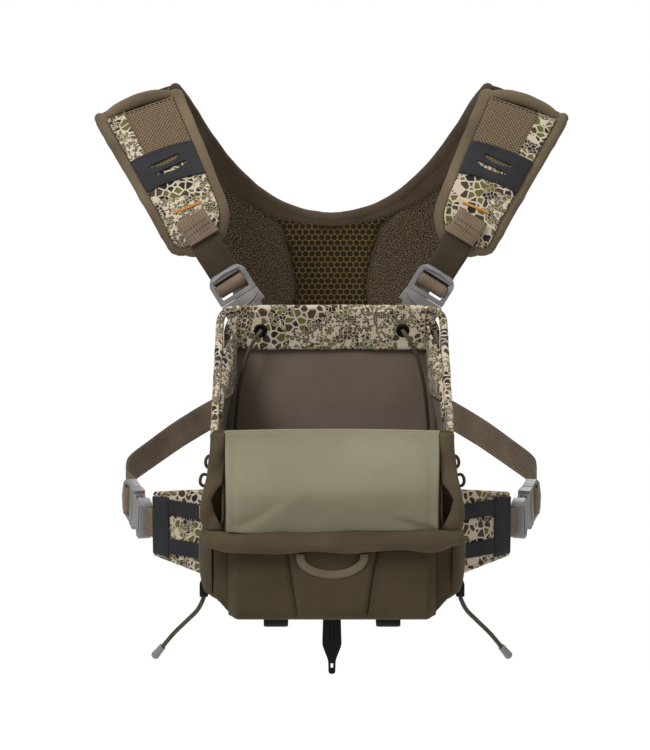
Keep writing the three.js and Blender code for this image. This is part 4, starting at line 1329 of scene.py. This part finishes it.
def shoulder_pads():
    nu, nv = 25, 45
    P, N = np.zeros((nu, nv, 3)), np.zeros((nu, nv, 3))
    front = np.zeros((nu, nv))
    for j, v in enumerate(np.linspace(0.0, 1.0, nv)):
        at, half, up = pad_frame(v)
        for i, u in enumerate(np.linspace(-0.96, 0.96, nu)):
            P[i, j] = at + PAD_ACROSS * half * u - up * PAD_DEPTH
            N[i, j] = up
            front[i, j] = pad_crown(u, v) - 0.9
    verts, faces = puffed(slab(P, front, front, N=N), voxel=3.6, cap=1.1)
    cloth = np.zeros((len(verts), 3))
    run = unit(vec(43.5, 65.9, 91.5))
    cloth[:, 0] = (verts - PAD_LINE[0]) @ run
    cloth[:, 1] = (verts - PAD_LINE[0]) @ PAD_ACROSS
    for pad in both("shoulder_pad_core", (verts, faces, cloth), MESH, replaces=["shoulder_pad_{}"]):
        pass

    # Face fabrics: camo low down and along the outer third, spacer mesh over the rest.
    mid = (PATCH[0] + PATCH[1]) / 2
    P, N = pad_grid(-0.77, 0.77, 0.08, mid, 33, 41, 0.45)
    camo_low = slab(P, 0.45, 0.45, N=N)
    P, N = pad_grid(-0.77, -0.36, mid, 0.955, 13, 33, 0.45)
    camo_high = slab(P, 0.45, 0.45, N=N)
    both("pad_camo_face", merge(camo_low, camo_high), CAMO)
    P, N = pad_grid(-0.35, 0.77, mid, 0.955, 25, 33, 0.35, 0.2)
    both("pad_mesh_face", slab(P, 0.45, 0.45, N=N), MESH)
    seam = np.array([pad_point(-0.355, v, 0.85) for v in np.linspace(mid, 0.97, 40)])
    both("pad_face_seam", tube(even(seam, 60), 0.6, 8, pad_frame(0.8)[2]), BINDING)

    # Rolled binding: down the outer edge, round the lower end and up the inner edge.
    shares = np.linspace(1.0, 0.1, 28)
    inset, deep = 5.2, 4.4

    def rim_point(share, across):
        at, _, up = pad_frame(share)
        return at + PAD_ACROSS * across - up * deep

    outer = [rim_point(v, -(pad_frame(v)[1] - inset)) for v in shares]
    inner = [rim_point(v, pad_frame(v)[1] - inset) for v in shares]
    low = [rim_point(0.03, k) + vec(0, 0, dz)
           for k, dz in ((-9, 2.4), (-3.4, -0.6), (3.4, -0.6), (9, 2.4))]
    path = even(curve(np.array(outer + low + inner[::-1]), 400), 200)
    ups = []
    for p in path:
        share = min(1, max(0, (p[2] - 128) / 91.5))
        ups.append(pad_frame(share)[2])
    binding = tube(path, 6.1, 16, np.array(ups), flatten=0.7, lump=lambda p: 0.35 * ripple(p, 9, 4))
    both("pad_binding", binding, BINDING)

    # Rolled end where the pad turns over the shoulder.
    at, half, up = pad_frame(1.0)
    top = []
    for u in np.linspace(-1, 1, 41):
        arch = 1 - u * u
        rise = up * (-3.4 + 1.8 * arch) + vec(0, 0, 4.6 * arch - 1.8)
        top.append(at + PAD_ACROSS * half * u * 0.86 + rise)
    fat = [2.6 + 2.2 * (1 - abs(u) ** 5) for u in np.linspace(-1, 1, 41)]
    roll = tube(np.array(top), fat, 16, up, flatten=1.0, lump=lambda p: 0.35 * ripple(p, 10, 8))
    both("pad_top_roll", roll, BINDING)
    rows = []
    for u in (-0.79, 0.79):
        line = np.array([pad_point(u, v, 0.75) for v in np.linspace(0.08, 0.96, 70)])
        rows.append(stitches(even(line, 120), pad_frame(0.5)[2], *PAD_STITCH))
    line = np.array([pad_point(u, 0.94, 0.8) for u in np.linspace(-0.74, 0.74, 30)])
    rows.append(stitches(line, pad_frame(0.95)[2], *PAD_STITCH))
    both("pad_stitches", merge(*rows), THREAD_DARK)

    # Laminate patch with two cut-outs that show the camo.
    P, N = pad_grid(-0.79, 0.79, *PATCH, 41, 25, 1.45, 0.0)
    bow = unit(np.cross(PAD_ACROSS, pad_frame(0.6)[2]))
    P = P + bow * (1.8 * (1 - np.linspace(-1, 1, 41) ** 2))[:, None, None]
    made = both("pad_patch", slab(P, 0.5, 0.45, N=N), LAMINATE, replaces=["shoulder_patch_{}"])
    at, half, up = pad_frame(mid)
    along = unit(np.cross(PAD_ACROSS, up))
    cutters = []
    for middle, run, wide, tilt in ((-1.5, 4.6, 22, 0.08), (1.5, -2.4, 23, 0.08)):
        ring = []
        for k in range(28):
            a = 2 * math.pi * k / 28
            x = math.cos(a) * wide / 2
            y = math.sin(a) * 1.8 * (1 + 0.25 * math.cos(a)) + 0.6 * math.cos(2 * a)
            ring.append(PAD_ACROSS * (middle + x) + along * (run + y + x * tilt))
        low_ring = [at + p + up * 0.45 for p in ring]
        high_ring = [at + p + up * 6 for p in ring]
        cutters.append(loft([low_ring, high_ring]))
    carve(made[0], *cutters)
    carve(made[1], *[(flip(v), f, c) for v, f, c in cutters])
    rows = []
    for v in (PATCH[0] + 0.012, PATCH[1] - 0.012):
        line = [pad_point(u, v, 2.0) + bow * 1.8 * (1 - u * u) for u in np.linspace(-0.72, 0.72, 30)]
        rows.append(stitches(np.array(line), up, 2.6, 1.8, 0.2))
    both("pad_patch_stitches", merge(*rows), THREAD_DARK)
    tack = bar_tack(pad_point(0.0, 0.4, 1.2), PAD_ACROSS * 0.985 + vec(0, 0, 0.05), along, up, 19, 1.4)
    both("pad_tack", tack, ORANGE)


FOLD = 47  # station of the strap at which its folded end begins


def shoulder_webbing():
    b = Buckle(SHOULDER)
    up = -b.y
    behind = b.mouth - up * 6.6
    start = [behind + b.z * d for d in (8.5, 18, 28)]
    end = [pad_point(u, v, lift) for u, v, lift in
           ((0.36, 0.1, 2.2), (0.175, 0.2, 2.0), (0.03, 0.29, 1.9), (-0.03, 0.35, 1.9))]
    path = even(curve(np.array(start + [behind + b.z * 37 + up * 0.6] + end), 160), 70)
    ups = []
    for t in np.linspace(0, 1, 70):
        ups.append(unit(up * (1 - t) + pad_frame(0.2)[2] * t))
    ups = np.array(ups)
    thin = ribbon(path, ups, 10, 1.3)
    both("shoulder_strap", thin, WEB_BROWN, replaces=["shoulder_webbing_{}"])
    upper = ribbon(path[FOLD:], ups[FOLD:], 10.3, 1.5, lift=1.35)
    both("shoulder_strap_fold", upper, WEB)
    lip = path[FOLD:FOLD + 5] - tangents(path)[FOLD:FOLD + 5] * 0.6
    fold = ribbon(lip, ups[FOLD:FOLD + 5], 10.4, 1.1, lift=2.4)
    rows = []
    for k in (FOLD + 3, FOLD + 8, FOLD + 13):
        side = unit(np.cross(tangents(path)[k], ups[k]))
        line = np.array([path[k] + ups[k] * 2.95 + side * x for x in np.linspace(-9, 9, 20)])
        rows.append(stitches(line, ups[k], 2.2, 1.5, 0.25))
    both("shoulder_strap_hem", fold, WEB)
    both("shoulder_strap_stitches", merge(*rows), THREAD)


shoulder_pads()
shoulder_webbing()

# ------------------------------------------------------------------ yoke
YOKE_INNER = [(103, 96, 227), (97, 118, 217), (86, 145, 196), (66, 169, 168), (42, 183, 148),
              (20, 188, 139), (0, 189, 136)]
YOKE_OUTER = [(159, 96, 205.5), (153, 123, 196), (134, 151, 176), (107, 173, 148), (81, 187, 108),
              (57, 194, 40), (45, 195, -8)]


def yoke_edges():
    """Inner and outer edge of the yoke, from its right end round to its left."""
    inner, outer = [], []
    count, last = 42, 13 / 14
    for t in np.linspace(0, 1, count):
        a = at_share(YOKE_INNER, t)
        if t > last:
            a = lerp(at_share(YOKE_INNER, last), vec(8, 188.8, 136.6), (t - last) / (1 - last))
        inner.append(a)
        outer.append(at_share(YOKE_OUTER, t))
    for t in np.linspace(0, 1, 9)[1:]:
        inner.append(lerp(vec(8, 188.8, 136.6), vec(0, 189, 136), t))
        outer.append(lerp(vec(45, 195, -8), vec(0, 196, -8), t))
    inner, outer = np.array(inner), np.array(outer)
    return [np.concatenate([line, flip(line)[::-1][1:]]) for line in (inner, outer)]


def comb_half(z):
    """Half width of the honeycomb panel at a height."""
    return float(np.interp(z, (-10, 50, 66, 76, 86, 96, 106, 116, 127, 132, 137, 143, 148),
                           (34, 34, 32, 26.5, 26, 28, 30, 33, 35.5, 40, 45, 51, 54)))


def comb_top(x):
    """Height of the honeycomb panel's upper edge, just under the neck band."""
    return 128.5 + 0.0062 * x * x


def yoke():
    inner, outer = yoke_edges()
    nu, nv = 33, len(inner)
    share = np.linspace(0, 1, nu)[:, None, None]
    base = inner[None] * (1 - share) + outer[None] * share
    N = grid_normals(base)
    turn = (N[..., 1] < 0) | ((np.abs(N[..., 1]) < 0.2) & (N[..., 2] < 0))
    N[turn] *= -1
    P = base + N * 3.5
    width = np.linalg.norm(outer - inner, axis=1)
    thick = np.zeros((nu, nv))
    for i in range(nu):
        for j in range(nv):
            u = i / (nu - 1)
            reach = min(u, 1 - u) * width[j]
            x, z = abs(P[i, j, 0]), P[i, j, 2]
            seam = abs(x - comb_half(z)) if z < 150 else 99
            t = 3.3 - 1.1 * math.exp(-((reach / 5) ** 2)) - 1.5 * math.exp(-((seam / 2.4) ** 2))
            thick[i, j] = t + 0.3 * ripple(P[i, j], 24, 2)
    shape = slab(P, thick, thick, N=N)
    pad = make("yoke_pad_body", shape, GRAIN, replaces=["yoke_pad"])
    skin = Skin(shape)

    # Neck edge and outer edges: rolled binding.
    neck = even(P[0] + unit(P[1] - P[0]) * 2.6, 220)
    roll = tube(neck, 4.3, 14, vec(0, -1, 0.25), flatten=0.95, lump=lambda p: 0.3 * ripple(p, 12, 5))
    make("yoke_neck_binding", roll, NECK)
    rim = even(P[-1] + unit(P[-2] - P[-1]) * 2.2, 300)
    roll = tube(rim, 3.7, 12, vec(0, -1, 0.1), flatten=0.95, lump=lambda p: 0.25 * ripple(p, 11, 6))
    make("yoke_outer_binding", roll, BINDING)

    # Plain neck band, wide at the shoulders and narrow behind the neck, on both faces.
    for name, way in (("inside", -1), ("outside", 1)):
        rows = 9
        Q = np.zeros((rows, nv, 3))
        for j in range(nv):
            far = min(1.0, np.linalg.norm(inner[j] - vec(0, 189, 136)) / 115)
            reach = (7.5 + 17 * far ** 1.5) / width[j]
            for k in range(rows):
                u = min(0.9, reach * k / (rows - 1)) * (nu - 1)
                i = min(int(u), nu - 2)
                w = u - i
                t = lerp(thick[i, j], thick[i + 1, j], w)
                n = unit(lerp(N[i, j], N[i + 1, j], w))
                Q[k, j] = lerp(P[i, j], P[i + 1, j], w) + n * way * (t + 0.45)
        band = slab(Q, 0.4, 0.4, N=np.repeat(N[:1] * way, rows, 0))
        make(f"yoke_neck_band_{name}", band, NECK)
        line = even(Q[-1] + N[0] * way * 0.35 - unit(Q[-1] - Q[-2]) * 1.4, 230)
        sewn = stitches(line, vec(0, way, 0), 3.2, 2.2, 0.3)
        make(f"yoke_band_stitches_{name}", sewn, THREAD_DARK)

    # Honeycomb panel: a lattice of knitted cells over a dark backing, on both faces.
    for name, way in (("inside", -1), ("outside", 1)):
        cells = []
        pitch = 4.6
        before, behind = 100, 270  # y in front of the yoke and behind it
        for row in range(60):
            z = -3.5 + row * pitch * math.sqrt(3) / 2
            for col in range(-12, 13):
                x = (col + 0.5 * (row % 2)) * pitch
                if abs(x) > comb_half(z) - 2.4 or z > comb_top(x) - 1:
                    continue
                cells.append((x, z))
        verts, faces = [], []
        index = {}

        def cast(x, z):
            """The point of the yoke's inside or outside face at x and z, and its normal."""
            return skin.hit(vec(x, before if way < 0 else behind, z), (0, -way, 0), behind - before)

        def corner(x, z, out):
            key = (round(x, 2), round(z, 2), out)  # cells that touch share their wide corners
            if key not in index:
                place, normal = cast(x, z)
                if place is None:
                    return None
                index[key] = len(verts)
                verts.append((place, normal))
            return index[key]

        for x, z in cells:
            wide, narrow = [], []
            for k in range(6):
                a = math.radians(60 * k + 30)
                dx, dz = math.cos(a) * pitch / math.sqrt(3), math.sin(a) * pitch / math.sqrt(3)
                wide.append(corner(x + dx, z + dz, "wide"))
            for k in range(12):
                a = math.radians(30 * k + 30)
                r = pitch * 0.44
                narrow.append(corner(x + math.cos(a) * r, z + math.sin(a) * r, f"{x:.1f},{z:.1f}"))
            if None in wide or None in narrow:
                continue
            for k in range(6):
                w0, w1 = wide[k], wide[(k + 1) % 6]
                n0, n1, n2 = narrow[2 * k], narrow[2 * k + 1], narrow[(2 * k + 2) % 12]
                faces += [(w0, n1, n0), (w0, w1, n1), (w1, n2, n1)]
        places, normals = np.array(verts).swapaxes(0, 1)
        lattice = thicken(places, normals, faces, 0.35, 0.85)
        make(f"yoke_honeycomb_{name}", lattice, COMB)
        Q = np.zeros((31, 41, 3))
        M = np.zeros((31, 41, 3))
        for j, t in enumerate(np.linspace(0, 1, 41)):
            for i, u in enumerate(np.linspace(-1, 1, 31)):
                z = lerp(-5, comb_top(53 * u) + 1.5, t)
                place, normal = cast(u * (comb_half(z) - 0.8), z)
                if place is None:
                    place, normal = Q[i, j - 1], M[i, j - 1]
                Q[i, j], M[i, j] = place, normal
        sheet = slab(Q, 0.3, 0.3, N=M)
        make(f"yoke_backing_{name}", sheet, BACKING)
        rows = []
        for side in (-1, 1):
            line = []
            for z in np.linspace(-3, 143, 66):
                place, normal = cast(side * (comb_half(z) + 0.3), z)
                if place is not None:
                    line.append(place + normal * 0.2)
            rows.append(tube(even(line, 90), 0.75, 8, vec(0, way, 0)))
        make(f"yoke_seams_{name}", merge(*rows), SHELL)


def thicken(verts, normals, faces, low, high):
    """Turns an open surface into a closed one between two heights along its normals."""
    n = len(verts)
    points = np.concatenate([verts + normals * high, verts + normals * low])
    result = [tuple(f) for f in faces] + [tuple(i + n for i in reversed(f)) for f in faces]
    used = {}
    for f in faces:
        for a, b in zip(f, f[1:] + f[:1]):
            used[(a, b)] = used.get((a, b), 0) + 1
    for a, b in used:
        if (b, a) not in used:
            result.append((b, a, a + n, b + n))
    return points, result, points * 1.0


# ------------------------------------------------------------------ straps
def side_straps():
    b = Buckle(SIDE)
    outwards = unit(SIDE[2])
    inside = SIDE[0] - outwards * 5.7
    route = [inside + b.z * 9, inside + b.z * 25, (140.6, 92, -43.5), (141.5, 117, -39),
             (127, 144, -30.5), (103, 167, -16.6), (74, 184, -3), (48, 190, 3), (32, 191.6, 4)]
    path = even(curve(np.array(route, float), 200), 90)
    t = tangents(path)
    up = unit(np.stack([t[:, 1], -t[:, 0], np.zeros(len(t))], 1))
    for i, u in enumerate(up):
        if u[0] < 0 and u[1] < 0:
            up[i] = -u
    strap = ribbon(path, up, 10, 1.5, lift=0.05)
    both("side_strap_run", strap, WEB_DARK, replaces=["side_strap_{}"])
    tacks = bar_tack(path[-9] + up[-9] * -0.1, unit(np.cross(t[-9], up[-9])), t[-9], -up[-9], 16, 2)
    both("side_strap_tack", tacks, THREAD_DARK)
    start, end = wing_point(1.0, 0, 2.2), SIDE[0] - b.z * 26
    halfway = lerp(start, end, 0.5) + WING_OUT * 0.4
    line = even(curve([wing_point(0.9, 0, 4.2), start + WING_OUT * 0.5, halfway, end], 40), 30)
    shape = ribbon(line, outwards, 9.5, 1.5, lift=-0.75)
    both("wing_stub", shape, WEB, replaces=["wing_webbing_{}"])


# ------------------------------------------------------------------ base
def base():
    path = [(35, -96.2, -90.4), (35, -96.4, -96.9), (35, -94.2, -98.7), (35, -80, -99), (35, -69, -99.2),
            (35, -58, -99), (35, -44, -98.7), (35, -41.8, -96.9), (35, -41.9, -90.4)]
    path = even(curve(path, 90), 60)
    centre = vec(35, -69, -91)
    loop = ribbon(path, unit(path - centre), 7.4, 1.2, lift=-0.8)
    both("base_webbing_loop", loop, WEB_BLACK, replaces=["base_loop_{}"])
    refine("base_tongue", BLACK, 0.9)
    rib = even([(0, -62.2, -100), (0, -62.4, -116)], 16)
    shape = tube(rib, 1.1, 8, BACK, flatten=0.6)
    make("tongue_rib", shape, BLACK, "base_tongue")
    for side in ("right", "left"):
        refine(f"cord_lock_{side}", BLACK, 1.0)
    button = tube(even([(80.1, -83.5, -74.2), (80.1, -83.5, -71.6)], 6), 1.9, 14, BACK, ends=True)
    both("cord_lock_button", button, BLACK)


yoke()
side_straps()
base()


# ------------------------------------------------------------------ floor, light and finish
def studio():
    ground = bpy.data.meshes.new("floor")
    level = -0.42
    corners = [(-2.4, -2.6, level), (2.4, -2.6, level), (2.4, 1, level), (-2.4, 1, level)]
    ground.from_pydata(corners, [], [(0, 1, 2, 3)])
    floor = bpy.data.objects.new("floor", ground)
    scene.collection.objects.link(floor)
    pale = Finish("floor_pale", 0.95, specular=0.1)
    cloud = pale.noise(pale.place(), 2, 2, 0.5)
    ground.materials.append(pale.done(pale.ramp(cloud, (0, 0.86), (1, 0.9))))
    world = bpy.data.worlds.new("world")
    scene.world = world
    world.use_nodes = True
    sky = world.node_tree.nodes["Background"]
    sky.inputs["Color"].default_value = (1, 1, 1, 1)
    sky.inputs["Strength"].default_value = 0.46
    backdrop = world.node_tree.nodes.new("ShaderNodeBackground")
    backdrop.inputs["Color"].default_value = (1, 1, 1, 1)
    seen = world.node_tree.nodes.new("ShaderNodeLightPath")
    choose = world.node_tree.nodes.new("ShaderNodeMixShader")
    join = world.node_tree.links.new
    join(seen.outputs["Is Camera Ray"], choose.inputs[0])
    join(sky.outputs[0], choose.inputs[1])
    join(backdrop.outputs[0], choose.inputs[2])
    join(choose.outputs[0], world.node_tree.nodes["World Output"].inputs["Surface"])
    # Name, place and size in metres, and power in watts.
    lamps = (
        ("key", (-1.05, -1.2, 1.7), 0.9, 42),
        ("top", (0.15, -0.2, 2.1), 1.5, 26),
        ("side", (1.5, -0.9, 0.9), 1.2, 3),
        ("rear", (0.5, 1.9, 1.3), 1.4, 22),
    )
    for name, spot, size, power in lamps:
        lamp = bpy.data.lights.new(name, "AREA")
        lamp.shape = "DISK"
        lamp.size = size
        lamp.energy = power
        holder = bpy.data.objects.new(name, lamp)
        scene.collection.objects.link(holder)
        holder.location = spot
        aim = Vector((0, 0.02, 0.03)) - Vector(spot)
        holder.rotation_euler = aim.to_track_quat("-Z", "Y").to_euler()
    scene.view_settings.view_transform = "Standard"


studio()
